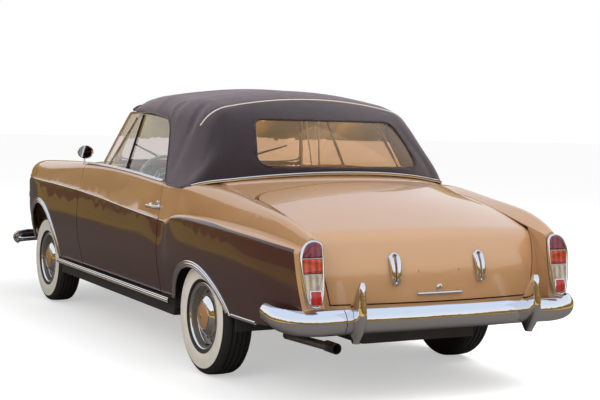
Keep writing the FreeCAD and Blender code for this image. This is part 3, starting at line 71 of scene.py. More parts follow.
# ---- shader maths: a socket that takes part in sums
class Sock:
    def __init__(self, maker, out):
        self.maker = maker
        self.out = out

    def sum(self, operation, *others, clamp=False):
        return self.maker.math(operation, self, *others, clamp=clamp)

    def __add__(self, other):
        return self.sum("ADD", other)

    __radd__ = __add__

    def __sub__(self, other):
        return self.sum("SUBTRACT", other)

    def __rsub__(self, other):
        return self.maker.math("SUBTRACT", other, self)

    def __mul__(self, other):
        return self.sum("MULTIPLY", other)

    __rmul__ = __mul__

    def __truediv__(self, other):
        return self.sum("DIVIDE", other)

    def __pow__(self, other):
        return self.sum("POWER", other)

    def size(self):
        return self.sum("ABSOLUTE")

    def over(self, level, soft=0.001):
        # 1 above the level, 0 below it, over a soft edge
        return self.maker.math("MULTIPLY_ADD", self - level, 1 / soft, 0.5, clamp=True)

    def band(self, low, high, soft=0.001):
        return self.over(low, soft) * (1 - self.over(high, soft))


class Finish:
    def __init__(self, name, **sockets):
        self.material = bpy.data.materials.new(name)
        self.material.use_nodes = True
        self.tree = self.material.node_tree
        self.shader = self.tree.nodes["Principled BSDF"]
        for key, value in sockets.items():
            self.feed(key.replace("_", " "), value)
        self.x, self.y, self.z, self.where = self.place()

    def feed(self, key, value):
        socket = self.shader.inputs[key]
        if isinstance(value, Sock):
            self.tree.links.new(value.out, socket)
        elif isinstance(value, tuple) and len(value) == 3 and socket.type == "RGBA":
            socket.default_value = (*value, 1)
        else:
            socket.default_value = value

    def node(self, kind, settings, values, out=0):
        made = self.tree.nodes.new(kind)
        for key, value in settings.items():
            setattr(made, key, value)
        for key, value in values.items():
            socket = made.inputs[key]
            if isinstance(value, Sock):
                self.tree.links.new(value.out, socket)
            elif socket.type == "RGBA" and len(value) == 3:
                socket.default_value = (*value, 1)
            else:
                socket.default_value = value
        return Sock(self, made.outputs[out])

    def math(self, operation, *values, clamp=False):
        settings = {"operation": operation, "use_clamp": clamp}
        return self.node("ShaderNodeMath", settings, dict(enumerate(values)))

    def place(self):
        where = self.node("ShaderNodeTexCoord", {}, {}, "Object")
        return tuple(self.node("ShaderNodeSeparateXYZ", {}, {0: where}, k) for k in range(3)) + (where,)

    def mix(self, share, low, high):
        return self.node("ShaderNodeMix", {"data_type": "RGBA"}, {0: share, 6: low, 7: high}, 2)

    def noise(self, scale, detail=2.0, rough=0.5, where=None):
        values = {"Vector": where or self.where, "Scale": scale, "Detail": detail, "Roughness": rough}
        return self.node("ShaderNodeTexNoise", {}, values, "Fac")

    def stretched(self, across, along, up):
        # the object's coordinates scaled apart, for grain and brushing
        values = {0: self.where, 1: (across, along, up)}
        return self.node("ShaderNodeVectorMath", {"operation": "MULTIPLY"}, values)

    def cells(self, scale, feature="F1"):
        values = {"Vector": self.where, "Scale": scale}
        return self.node("ShaderNodeTexVoronoi", {"feature": feature}, values, "Distance")

    def radius(self, along, up):
        # distance from an axle that runs across the car
        return ((self.y - along) ** 2 + (self.z - up) ** 2) ** 0.5

    def bump(self, height, distance, strength=1.0):
        made = self.node("ShaderNodeBump", {}, {"Height": height, "Distance": distance, "Strength": strength})
        self.feed("Normal", made)


def tone(red, green, blue):
    # a colour as a paint chart gives it, 0 to 255, in the shader's linear scale
    shares = (c / 255 for c in (red, green, blue))
    return tuple(c / 12.92 if c <= 0.04045 else ((c + 0.055) / 1.055) ** 2.4 for c in shares)


def curveOf(finish, value, points, low, high):
    # a smooth line through (position, height) points, read by position
    span = points[-1][0] - points[0][0]
    share = (value - points[0][0]) / span
    made = finish.tree.nodes.new("ShaderNodeFloatCurve")
    line = made.mapping.curves[0]
    for k, (position, height) in enumerate(points):
        at = ((position - points[0][0]) / span, (height - low) / (high - low))
        if k < 1:
            line.points[0].location = at
        elif k == len(points) - 1:
            line.points[-1].location = at
        else:
            line.points.new(*at)
    made.mapping.update()
    finish.tree.links.new(share.out, made.inputs["Value"])
    return Sock(finish, made.outputs[0]) * (high - low) + low


# ---- paint: tan above, dark below the crease and round the hip
paint = {
    "tan": tone(196, 152, 110), "dark": tone(62, 36, 31), "hub": tone(186, 140, 94),
    "crease": [(-2.3, 0.862), (-1.655, 0.848), (-1.099, 0.838), (-0.589, 0.824), (-0.209, 0.806),
               (0.224, 0.778), (0.661, 0.756), (0.835, 0.744), (0.849, 0.741), (0.984, 0.792),
               (1.295, 0.803), (1.651, 0.785), (1.974, 0.76), (2.3, 0.7)],
    "span": (0.68, 0.88), "inner": 0.664, "tail": 2.165, "tailLevel": 0.66, "tailLean": 0.2, "soft": 0.0015,
}


def bodyPaint(name, twoTone):
    finish = Finish(name, Metallic=0.35, Roughness=0.3, Coat_Weight=1.0, Coat_Roughness=0.02, Coat_IOR=1.5)
    warm = finish.noise(1.3)
    flake = finish.noise(1400, 1)
    shade, light = ([min(1, c * share) for c in paint["tan"]] for share in (0.95, 1.04))
    tan = finish.mix(warm, tuple(shade), tuple(light))
    if twoTone:
        edge = curveOf(finish, finish.y, paint["crease"], *paint["span"])
        lower = (edge - finish.z).over(0, paint["soft"])
        outside = finish.x.size().over(paint["inner"], 0.002)
        tail = paint["tail"] + (paint["tailLevel"] - finish.z) * paint["tailLean"]
        ahead = (tail - finish.y).over(0, paint["soft"])
        dark = lower * outside * ahead
        tan = finish.mix(dark, tan, paint["dark"])
        finish.feed("Metallic", 0.35 - dark * 0.25)
    finish.feed("Base Color", tan)
    finish.feed("Roughness", flake * 0.1 + 0.24)
    return finish


paintTwoTone = bodyPaint("paintTwoTone", True)
paintTan = bodyPaint("paintTan", False)

polished = (0.86, 0.86, 0.87)
chrome = Finish("chrome", Metallic=1.0, Base_Color=polished)
chrome.feed("Roughness", chrome.noise(14, 3) * 0.05 + 0.02)
chrome.bump(chrome.noise(6, 1), 0.0006, 0.25)

# the bumpers: polished, with a dark joint line where their three lengths meet
bumperChrome = Finish("bumperChrome", Metallic=1.0)
bumperJoint = {"across": 0.541, "half": 0.0018, "soft": 0.0006}
joint = (bumperChrome.x.size() - bumperJoint["across"]).size().over(bumperJoint["half"], bumperJoint["soft"])
bumperChrome.feed("Base Color", bumperChrome.mix(joint, (0.01, 0.01, 0.01), polished))
bumperChrome.feed("Roughness", 0.5 - joint * 0.47 + bumperChrome.noise(14, 3) * 0.03)
bumperChrome.bump(joint + bumperChrome.noise(5, 1) * 0.3, 0.001, 0.4)

satinMetal = Finish("satinMetal", Metallic=1.0, Base_Color=(0.62, 0.60, 0.57))
satinMetal.feed("Roughness", satinMetal.noise(60, 2, where=satinMetal.stretched(1, 20, 1)) * 0.2 + 0.22)

rubber = Finish("rubber", Roughness=0.75, Base_Color=(0.012, 0.012, 0.012))
rubber.bump(rubber.noise(300), 0.0004, 0.4)

chassisPaint = Finish("chassisPaint", Roughness=0.6)
dust = chassisPaint.noise(7, 4)
chassisPaint.feed("Base Color", chassisPaint.mix(dust, (0.012, 0.011, 0.01), (0.035, 0.03, 0.026)))
chassisPaint.bump(chassisPaint.noise(120, 3), 0.0006, 0.5)

castIron = Finish("castIron", Metallic=0.8, Roughness=0.55)
castIron.feed("Base Color", castIron.mix(castIron.noise(20, 4), (0.10, 0.10, 0.10), (0.22, 0.21, 0.2)))
castIron.bump(castIron.noise(400, 3), 0.0005, 0.6)

exhaustSteel = Finish("exhaustSteel", Metallic=0.9, Roughness=0.4)
soot = exhaustSteel.y.over(2.13, 0.06) * 0.8
heated = exhaustSteel.mix(exhaustSteel.noise(9, 4), (0.16, 0.13, 0.10), (0.45, 0.42, 0.4))
exhaustSteel.feed("Base Color", exhaustSteel.mix(soot, heated, (0.02, 0.018, 0.016)))
exhaustSteel.feed("Roughness", soot * 0.3 + 0.35)

clearGlass = Finish("clearGlass", Base_Color=(0.95, 0.98, 0.97), Transmission_Weight=1.0, IOR=1.35)
clearGlass.feed("Roughness", clearGlass.noise(5) * 0.01)

amberSheet = Finish("amberSheet", Base_Color=(0.84, 0.60, 0.36), Transmission_Weight=0.95, IOR=1.25)
amberSheet.feed("Roughness", amberSheet.noise(6, 3) * 0.02)
amberSheet.bump(amberSheet.noise(3, 1), 0.002, 0.25)

leather = Finish("leather")
leather.feed("Base Color", leather.mix(leather.noise(6, 3), tone(178, 130, 88), tone(206, 160, 114)))
leather.feed("Roughness", leather.noise(40) * 0.2 + 0.38)
leather.bump(leather.cells(260, feature="SMOOTH_F1"), 0.0008, 0.4)

wood = Finish("wood", Roughness=0.25, Coat_Weight=0.8)
grain = {"Vector": wood.where, "Scale": 14.0, "Distortion": 6.0, "Detail": 4.0, "Detail Scale": 2.0}
ring = wood.node("ShaderNodeTexWave", {"wave_type": "BANDS", "bands_direction": "Z"}, grain, "Fac")
wood.feed("Base Color", wood.mix(ring, tone(70, 34, 16), tone(134, 78, 40)))

ivory = Finish("ivory")
ivory.feed("Base Color", ivory.mix(ivory.noise(8, 3), tone(222, 208, 180), tone(234, 222, 198)))
ivory.feed("Roughness", ivory.noise(30) * 0.1 + 0.25)

carpet = Finish("carpet", Roughness=1.0)
carpet.feed("Base Color", carpet.mix(carpet.noise(700), tone(110, 80, 56), tone(150, 114, 82)))
carpet.bump(carpet.noise(900), 0.003, 0.8)

liner = Finish("liner", Roughness=0.95)
liner.feed("Base Color", liner.mix(liner.noise(500), tone(150, 124, 98), tone(178, 152, 124)))
liner.bump(liner.cells(1200), 0.0005, 0.5)
print("finishes made")


# ---- making pieces
def meshPiece(name, data, body, finish, smooth=35):
    data.materials.clear()
    for one in finish if isinstance(finish, (list, tuple)) else [finish]:
        data.materials.append(one.material)
    data.shade_smooth()
    data.set_sharp_from_angle(angle=math.radians(smooth))
    obj = bpy.data.objects.new(name, data)
    scene.collection.objects.link(obj)
    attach(obj, body)
    return obj


def piece(name, shape, body, finish, smooth=35, outward=True):
    bmesh.ops.remove_doubles(shape, verts=shape.verts[:], dist=0.00001)
    if outward:
        bmesh.ops.recalc_face_normals(shape, faces=shape.faces[:])
    data = bpy.data.meshes.new(name)
    shape.to_mesh(data)
    shape.free()
    return meshPiece(name, data, body, finish, smooth)


def bead(name, points, thick, body, finish, high=0.0, closed=False):
    # a rounded moulding along points; high makes it a strip that stands taller than it is thick
    line = bpy.data.curves.new(name, "CURVE")
    line.dimensions = "3D"
    line.resolution_u = 4
    line.bevel_depth = thick / 2
    line.bevel_resolution = 3
    line.use_fill_caps = True
    if high > thick:
        line.extrude = (high - thick) / 2
        line.twist_mode = "Z_UP"
    run = line.splines.new("NURBS")
    run.points.add(len(points) - 1)
    for point, spot in zip(run.points, points):
        point.co = (*spot, 1)
    run.order_u = 3
    run.use_endpoint_u = not closed
    run.use_cyclic_u = closed
    holder = bpy.data.objects.new(name + "Line", line)
    data = bpy.data.meshes.new_from_object(holder)
    bpy.data.objects.remove(holder)
    shape = bmesh.new()
    shape.from_mesh(data)
    return piece(name, shape, body, finish, 50)


def spun(profile, centre, steps, axis=(1, 0, 0)):
    # turns (along the axis, radius) pairs round a centre
    shape = bmesh.new()
    axis = Vector(axis).normalized()
    out = axis.orthogonal().normalized()
    centre = Vector(centre)
    spots = [shape.verts.new(centre + axis * along + out * radius) for along, radius in profile]
    line = [shape.edges.new(pair) for pair in zip(spots, spots[1:])]
    bmesh.ops.spin(shape, geom=spots + line, cent=centre, axis=axis, angle=math.tau, steps=steps,
                   use_merge=True, use_duplicate=False)
    return shape


def fitting(name, profile, centre, steps, axis, body, finish=chrome):
    return piece(name, spun(profile, centre, steps, axis), body, finish)


def block(low, high, edge, segments, turn=None):
    # a box between two corners with rounded edges
    shape = bmesh.new()
    low, high = Vector(low), Vector(high)
    made = bmesh.ops.create_cube(shape, size=1)["verts"]
    bmesh.ops.scale(shape, vec=high - low, verts=made)
    if turn:
        bmesh.ops.rotate(shape, cent=(0, 0, 0), matrix=turn, verts=made)
    bmesh.ops.translate(shape, vec=(low + high) / 2, verts=made)
    edges = list({e for v in made for e in v.link_edges})
    bmesh.ops.bevel(shape, geom=edges, offset=edge, affect="EDGES", segments=segments, profile=0.5,
                    material=-1)
    return shape


skins = {}


def onSkin(names, start, along):
    # where a line meets the frame's panels, and which way the panel faces there
    if names not in skins:
        shape = bmesh.new()
        for name in names:
            shape.from_mesh(nodes[name].data)
        skins[names] = BVHTree.FromBMesh(shape)
        shape.free()
    spot, normal, face, distance = skins[names].ray_cast(Vector(start), Vector(along).normalized())
    return spot, normal


def met(names, starts, along, out=0.0):
    # where lines from each start meet the panels, lifted off them by out; a miss is left out
    found = (onSkin(names, start, along) for start in starts)
    return [spot + facing * out for spot, facing in found if spot]


def evenly(low, high, steps):
    return [low + (high - low) * k / steps for k in range(steps + 1)]


def blend(low, high, share):
    return low + (high - low) * share


def dress(name, finish, smooth=35):
    # gives a frame node its finish, and joins its loose corners so that it shades smoothly
    obj = nodes[name]
    obj.data.materials.clear()
    obj.data.materials.append(finish.material)
    weld = obj.modifiers.new("weld", "WELD")
    weld.merge_threshold = 0.00002
    split = obj.modifiers.new("edges", "EDGE_SPLIT")
    split.split_angle = math.radians(smooth)


looks = {
    "hood": paintTan, "cowl_panel": paintTan, "trunk_lid": paintTan, "rear_deck": paintTan,
    "tail_panel": paintTan, "nose_panel": paintTan, "windshield_frame": paintTan,
    "rear_bumper": bumperChrome, "front_bumper": bumperChrome, "grille": chrome, "door_mirror": chrome,
    "windshield_glass": clearGlass, "door_glass_left": clearGlass, "door_glass_right": clearGlass,
    "rear_window": amberSheet, "headlamps": clearGlass, "tail_lamps": rubber, "soft_top": liner,
    "dashboard": wood, "steering_wheel": ivory, "exhaust": exhaustSteel, "engine_block": castIron,
    "driveline": castIron, "floor_pan": carpet, "boot_floor": carpet,
    "front_seat_left": leather, "front_seat_right": leather, "rear_seat": leather,
}
sideSkin = ("front_fender_left", "door_left", "rear_fender_left",
            "front_fender_right", "door_right", "rear_fender_right")
looks.update(dict.fromkeys(sideSkin, paintTwoTone))
sides = (("Left", "left_door", 1), ("Right", "right_door", -1))
for name in nodes:
    if name.startswith("wheel_"):
        dress(name, chrome)
    elif name.startswith("tyre_"):
        dress(name, rubber)
    else:
        dress(name, looks.get(name, chassisPaint))
print("nodes dressed")

# ---- wheels: ribbed whitewall tyres, trim rings and caps
wheels = {
    "names": [("front_left", 1, 0.715, -1.445), ("front_right", -1, -0.715, -1.445),
              ("rear_left", 1, 0.735, 1.255), ("rear_right", -1, -0.735, 1.255)],
    "hub": 0.301, "axles": (-1.445, 1.255), "outerFace": 0.778, "capFace": 0.76, "disc": (0.106, 0.158),
    "whiteLow": 0.191, "whiteHigh": 0.2655, "capTan": 0.066,
    "grooves": (-0.040, -0.0135, 0.0135, 0.040), "deep": 0.007, "crown": 1.1,
    "grooveSides": ((-0.0034, 0), (-0.0020, 1), (0.0020, 1), (0.0034, 0)),
    # outlines as (along the axle, radius), outward positive
    "wall": [(-0.062, 0.171), (-0.073, 0.180), (-0.0815, 0.200), (-0.0845, 0.222), (-0.0835, 0.245),
             (-0.079, 0.266), (-0.0735, 0.281), (-0.066, 0.2915), (-0.057, 0.2965)],
    "whiteStep": [(0.0790, 0.2670), (0.0803, 0.2660), (0.0800, 0.2640)],
    "shoulder": (0.052, 0.2982), "bead": [(0.0, 0.1655), (-0.062, 0.171)],
    "trimRing": [(0.062, 0.1775), (0.0685, 0.176), (0.0715, 0.170), (0.069, 0.1655), (0.058, 0.163),
                 (0.040, 0.160), (0.030, 0.154)],
    "capRing": [(0.0716 + 0.0016 * math.cos(turn), 0.0675 + 0.0022 * math.sin(turn))
                for turn in evenly(0, math.tau, 10)],
    "capBoss": [(0.079, 0.0135), (0.0822, 0.0125), (0.0836, 0.009), (0.0839, 0.0045), (0.0839, 0.0)],
    "slots": 12, "slotLow": (-0.003, 0.1285, -0.015), "slotHigh": (0.003, 0.1375, 0.015), "slotOut": 0.0145,
    "valve": [(0.03, 0.0035), (0.052, 0.0035), (0.054, 0.0028), (0.0545, 0.0)], "valveDown": 0.149,
}


def tyreFinish(axle):
    finish = Finish("tyre" + ("Front" if axle < 0 else "Rear"))
    reach = finish.radius(axle, wheels["hub"])
    band = reach.band(wheels["whiteLow"], wheels["whiteHigh"], 0.0012)
    band = band * finish.x.size().over(wheels["outerFace"], 0.002)
    dusty = finish.noise(9, 4)
    black = finish.mix(dusty, (0.008, 0.0075, 0.007), (0.02, 0.018, 0.016))
    cream = finish.mix(finish.noise(14, 4), tone(206, 196, 182), tone(222, 214, 202))
    finish.feed("Base Color", finish.mix(band, black, cream))
    finish.feed("Roughness", 0.62 - band * 0.12)
    tread = reach.over(0.292, 0.002) * finish.noise(700, 1, where=finish.stretched(0.15, 1, 1))
    fine = (reach * 900).sum("SINE") * (1 - reach.over(0.285, 0.004)) * (1 - band)
    finish.bump(tread + fine * 0.25, 0.0012, 0.5)
    return finish


def wheelFinish(axle):
    finish = Finish("wheelChrome" + ("Front" if axle < 0 else "Rear"), Metallic=1.0)
    reach = finish.radius(axle, wheels["hub"])
    outer = finish.x.size().over(wheels["capFace"], 0.002)
    cap = (1 - reach.over(wheels["capTan"], 0.0006)) * outer
    disc = reach.band(*wheels["disc"], 0.002)
    metal = finish.mix(disc, polished, (0.30, 0.26, 0.22))
    finish.feed("Base Color", finish.mix(cap, metal, paint["hub"]))
    finish.feed("Metallic", 1 - cap * 0.6 - disc * 0.4)
    finish.feed("Roughness", cap * 0.2 + disc * 0.25 + finish.noise(30) * 0.04 + 0.03)
    finish.bump(reach.band(0.052, 0.056, 0.002) * 0.6 + reach.band(0.0, 0.02, 0.004), 0.0015, 0.6)
    return finish


def tyreShape(side, centre):
    tread = []
    for groove in wheels["grooves"]:
        top = wheels["hub"] - wheels["crown"] * groove ** 2
        tread += [(groove + step, top - dip * wheels["deep"]) for step, dip in wheels["grooveSides"]]
    tread.insert(8, (0.0, wheels["hub"]))
    along, radius = wheels["shoulder"]
    outer = [(-a, r) for a, r in reversed(wheels["wall"])]
    outer = outer[:3] + wheels["whiteStep"] + outer[4:]
    profile = wheels["wall"] + [(-along, radius)] + tread + [(along, radius)] + outer + wheels["bead"]
    return spun([(a * side, r) for a, r in profile], centre, 96)


def makeWheels():
    finishes = {axle: (tyreFinish(axle), wheelFinish(axle)) for axle in wheels["axles"]}
    for name, side, middle, axle in wheels["names"]:
        body = name + "_wheel"
        centre = (middle, axle, wheels["hub"])
        sidewall, disc = finishes[axle]
        tyre = piece("tyre_" + name + "_cover", tyreShape(side, centre), body, sidewall, 40)
        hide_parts("tyre_" + name)
        dress("wheel_" + name, disc)
        for label, steps in (("trimRing", 72), ("capRing", 56), ("capBoss", 40)):
            ring = spun([(side * a, r) for a, r in wheels[label]], centre, steps)
            piece(label + "_" + name, ring, body, chrome, 60)
        # painted shade: dark rubber blocks round the disc stand for the vents, dark where they open into the
        # wheel
        slots = bmesh.new()
        for k in range(wheels["slots"]):
            one = block(wheels["slotLow"], wheels["slotHigh"], 0.0035, 3)
            turn = Matrix.Rotation(math.tau * k / wheels["slots"], 4, "X")
            spot = Vector(centre) + Vector((side * wheels["slotOut"], 0, 0))
            bmesh.ops.transform(one, matrix=Matrix.Translation(spot) @ turn, verts=one.verts[:])
            data = bpy.data.meshes.new("slot")
            one.to_mesh(data)
            one.free()
            slots.from_mesh(data)
            bpy.data.meshes.remove(data)
        piece("wheelSlots_" + name, slots, body, rubber, 40)
        stem = (middle, axle, wheels["hub"] - wheels["valveDown"])
        valve = spun([(side * a, r) for a, r in wheels["valve"]], stem, 12)
        piece("valve_" + name, valve, body, rubber, 40)
    print("wheels made")


makeWheels()

# ---- tail lamps: four lenses in a bright bezel on each side
tailLamp = {
    "outline": [(0.757, 0.711), (0.759, 0.667), (0.754, 0.606), (0.743, 0.539), (0.731, 0.497),
                (0.712, 0.482), (0.690, 0.480), (0.664, 0.493), (0.651, 0.579), (0.647, 0.660),
                (0.648, 0.735), (0.655, 0.766), (0.697, 0.777), (0.737, 0.760)],
    "lens": [("lampRed", 0.7015, 0.79), ("lampOrange", 0.6305, 0.6965), ("lampClear", 0.4, 0.6255)],
    "face": 2.172, "faceTop": 0.76, "lean": 0.171, "away": (0, 0.9857, 0.1686), "base": 0.004, "foot": 0.005,
    "rim": 0.0101, "wall": 0.0125, "inset": 0.003, "domes": (0.0035, 0.0025, 0.0012),
    "bezel": 0.0145, "bezelOut": 0.019, "bars": (0.699, 0.628), "bar": 0.0055, "barOut": 0.0185,
    "barAcross": (0.6485, 0.68, 0.72, 0.7555),
    "reflector": (0.6700, 0.7230, 0.4940, 0.5560), "reflectorHalf": 0.004, "reflectorEdge": 0.0025,
    "reflectors": (("reflectorFrame_", 0.0035, 0.0292), ("reflector_", 0.0, 0.0304)),
}


def lensFinish(name, deep, bright, ribs, clear=0.0):
    finish = Finish(name, Coat_Weight=1.0, Coat_Roughness=0.02, Transmission_Weight=clear)
    across = (finish.x * (math.tau / ribs)).sum("SINE")
    # painted sheen: patches and fine stripes of lighter colour across the lens stand in for light caught in
    # it
    paintedSheen = (finish.x * 190).sum("SINE") * 0.25 + finish.noise(40, 3) * 0.9
    finish.feed("Base Color", finish.mix(paintedSheen.over(0.45, 0.7), deep, bright))
    finish.feed("Roughness", finish.noise(90) * 0.06 + 0.1)
    finish.bump(across, 0.0012, 0.5)
    return finish


def lampFace(y0):
    # the lamp's outline as one flat face, leaning with the tail
    shape = bmesh.new()
    line = bpy.data.curves.new("outline", "CURVE")
    line.dimensions = "3D"
    line.resolution_u = 3
    run = line.splines.new("NURBS")
    run.points.add(len(tailLamp["outline"]) - 1)
    for point, (x, z) in zip(run.points, tailLamp["outline"]):
        point.co = (x, lampY(z) + y0, z, 1)
    run.order_u = 3
    run.use_cyclic_u = True
    holder = bpy.data.objects.new("outline", line)
    data = bpy.data.meshes.new_from_object(holder)
    bpy.data.objects.remove(holder)
    shape.from_mesh(data)
    bmesh.ops.remove_doubles(shape, verts=shape.verts[:], dist=0.0005)
    bmesh.ops.contextual_create(shape, geom=shape.edges[:])
    return shape


def lampY(z):
    return tailLamp["face"] + (tailLamp["faceTop"] - z) * tailLamp["lean"]


def tailward(shape, verts, reach):
    bmesh.ops.translate(shape, vec=Vector(tailLamp["away"]) * reach, verts=verts)


def makeTailLamp(side):
    lower = "left" if side > 0 else "right"
    flip = Matrix.Diagonal((side, 1, 1, 1))
    floor = lampFace(tailLamp["base"])
    bmesh.ops.transform(floor, matrix=flip, verts=floor.verts[:])
    piece("tailBase_" + lower, floor, "shell", satinMetal, 50)
    for name, low, high in tailLamp["lens"]:
        lens = lampFace(tailLamp["foot"])
        bmesh.ops.inset_region(lens, faces=lens.faces[:], thickness=tailLamp["rim"], depth=0)
        keep = max(lens.faces, key=lambda face: len(face.verts))
        bmesh.ops.delete(lens, geom=[f for f in lens.faces if f is not keep], context="FACES")
        for level, sign in ((low, -1), (high, 1)):
            geom = lens.verts[:] + lens.edges[:] + lens.faces[:]
            bmesh.ops.bisect_plane(lens, geom=geom, plane_co=(0, 0, level), plane_no=(0, 0, sign),
                                   clear_outer=True)
        top = bmesh.ops.extrude_face_region(lens, geom=lens.faces[:])["geom"]
        tailward(lens, [v for v in top if isinstance(v, bmesh.types.BMVert)], tailLamp["wall"])
        faces = [f for f in top if isinstance(f, bmesh.types.BMFace)]
        for depth in tailLamp["domes"]:
            bmesh.ops.inset_region(lens, faces=faces, thickness=tailLamp["inset"], depth=0)
            tailward(lens, list({v for f in faces for v in f.verts}), depth)
        bmesh.ops.transform(lens, matrix=flip, verts=lens.verts[:])
        piece(name + "_" + lower, lens, "shell", lensFinishes[name], 40)
    rim = [(side * x, lampY(z) + tailLamp["bezelOut"], z) for x, z in tailLamp["outline"]]
    bezel = bead("tailBezel_" + lower, rim, tailLamp["bezel"], "shell", chrome, closed=True)
    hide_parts("tail_lamps")
    for level in tailLamp["bars"]:
        line = [(side * x, lampY(level) + tailLamp["barOut"], level) for x in tailLamp["barAcross"]]
        bead("lampBar%03d_%s" % (level * 1000, lower), line, tailLamp["bar"], "shell", chrome)
    west, east, low, high = tailLamp["reflector"]
    thick = tailLamp["reflectorHalf"]
    for (name, grow, deep), finish in zip(tailLamp["reflectors"], (chrome, lensFinishes["lampReflector"])):
        lean = Matrix.Rotation(math.atan(tailLamp["lean"]), 3, "X")
        middle = (low + high) / 2
        centre = Vector(((west + east) / 2, lampY(middle) + deep - thick, middle))
        half = Vector(((east - west) / 2 + grow, thick, (high - low) / 2 + grow))
        shape = block(-half, half, tailLamp["reflectorEdge"], 2)
        bmesh.ops.rotate(shape, cent=(0, 0, 0), matrix=lean, verts=shape.verts[:])
        bmesh.ops.translate(shape, vec=centre, verts=shape.verts[:])
        bmesh.ops.transform(shape, matrix=flip, verts=shape.verts[:])
        piece(name + lower, shape, "shell", finish, 40)


lensFinishes = {
    "lampRed": lensFinish("lensRed", (0.05, 0.002, 0.010), (0.24, 0.010, 0.030), 0.004),
    "lampOrange": lensFinish("lensOrange", (0.20, 0.004, 0.003), (0.55, 0.06, 0.008), 0.004),
    "lampClear": lensFinish("lensClear", (0.36, 0.27, 0.20), (0.75, 0.66, 0.56), 0.005, 0.3),
    "lampReflector": lensFinish("lensReflector", (0.26, 0.001, 0.002), (0.50, 0.004, 0.004), 0.0025),
}
for side in (1, -1):
    makeTailLamp(side)
print("tail lamps made")

# ---- the soft top: one sheet over its bows, from the header down to the deck
topCloth = Finish("topCloth", Sheen_Weight=0.5, Sheen_Roughness=0.4, Sheen_Tint=(0.9, 0.8, 0.82))
# painted shade: behind a slanting line just past the rear bow, where the top falls towards the deck, the
# cloth is painted darker
behind = (topCloth.y + topCloth.z * 0.35).over(1.375, 0.05)
thread = topCloth.noise(900, 2) * 0.5 + topCloth.noise(7, 3) * 0.5
clothDark = topCloth.mix(behind, tone(50, 41, 49), tone(31, 21, 25))
clothLight = topCloth.mix(behind, tone(76, 63, 70), tone(46, 34, 38))
topCloth.feed("Base Color", topCloth.mix(thread, clothDark, clothLight))
topCloth.feed("Roughness", topCloth.noise(60) * 0.15 + 0.75)
topCloth.bump(topCloth.cells(1500, feature="SMOOTH_F1") + topCloth.noise(14, 3) * 2.0, 0.0012, 0.6)

top = {
    "spine": 0.93, "turn": 0.80, "turnLow": 0.8904, "end": 74.6,
    "straightRows": 72, "fanRows": 56, "columns": 130,
    "front": -0.4385, "arc": 1.4654, "straighten": 0.2, "thick": 0.0035,
    "bows": (-0.12, 0.25, 0.60), "bowWide": 0.045, "sag": 0.0035, "reach": 2.2, "windowPlane": 0.95,
    "bind": (1.0, 0.31, 1.05, 1.33), "widest": 0.66, "angles": (-4, 60, 184, 120), "fine": 400,
    "folds": [((0.600, 0.545, 1.435), (0.650, 0.479, 1.374), 0.006, 0.022),
              ((0.650, 0.479, 1.374), (0.680, 0.526, 1.278), 0.006, 0.020),
              ((0.600, 0.753, 1.410), (0.660, 0.785, 1.321), -0.007, 0.028),
              ((0.660, 0.785, 1.321), (0.700, 0.787, 1.233), -0.007, 0.028),
              ((0.700, 0.787, 1.233), (0.770, 0.760, 1.060), -0.003, 0.040)],
    "window": [(-0.506, 1.066), (0.506, 1.066), (0.432, 1.312), (-0.432, 1.312)], "windowRound": 0.06,
}


topSkin = ("soft_top", "rear_window")


def topSpot(row, turn):
    # row up to 0 is ahead of the turning line, in metres; beyond it, an angle round the line
    y, lean = row
    across = 0.45 * math.cos(turn) / max(math.sin(turn), 0.05)
    across = max(-top["widest"], min(top["widest"], across))
    way = Vector((math.cos(turn), math.sin(turn) * math.sin(lean), math.sin(turn) * math.cos(lean)))
    for again in range(5 if y < top["straighten"] else 1):
        share = min(1, max(0, (top["straighten"] - y) / (top["straighten"] - top["front"])))
        bent = share * (top["arc"] - math.sqrt(top["arc"] ** 2 - across ** 2))
        low = blend(top["spine"], top["turnLow"], min(1, max(0, y / top["turn"])))
        start = Vector((0, y + bent, low))
        far = start + way * top["reach"]
        spot, facing = onSkin(topSkin, far, -way)
        if not spot and y < -0.3:
            # the header's rail stands in a slot here, and the cloth bridges it
            beside = met(topSkin, [far + Vector((0, step, 0)) for step in (-0.03, 0.03)], -way)
            if len(beside) == 2:
                spot, facing = (beside[0] + beside[1]) / 2, way
        if not spot or (spot - start).dot(way) < 0.3 or facing.dot(way) < 0:
            return None
        across = spot.x
    return spot


def topRow(row, columns):
    # the first and last angle at which the row meets the top, then even steps between them
    ends = []
    from0, to0, from1, to1 = (math.radians(angle) for angle in top["angles"])
    for low, high in ((from0, to0), (from1, to1)):
        for step in range(14):
            half = (low + high) / 2
            if topSpot(row, half):
                high = half
            else:
                low = half
        ends.append(high)
    fine = [topSpot(row, turn) for turn in evenly(*ends, top["fine"])]
    fine = [spot for spot in fine if spot]
    run = [0.0]
    for one, other in zip(fine, fine[1:]):
        run.append(run[-1] + (other - one).length)
    spots, k = [], 0
    for column in range(columns):
        want = run[-1] * column / (columns - 1)
        while k < len(run) - 2 and run[k + 1] < want:
            k += 1
        share = (want - run[k]) / max(run[k + 1] - run[k], 1e-9)
        spots.append(fine[k].lerp(fine[k + 1], min(1, share)))
    return spots, run[-1]


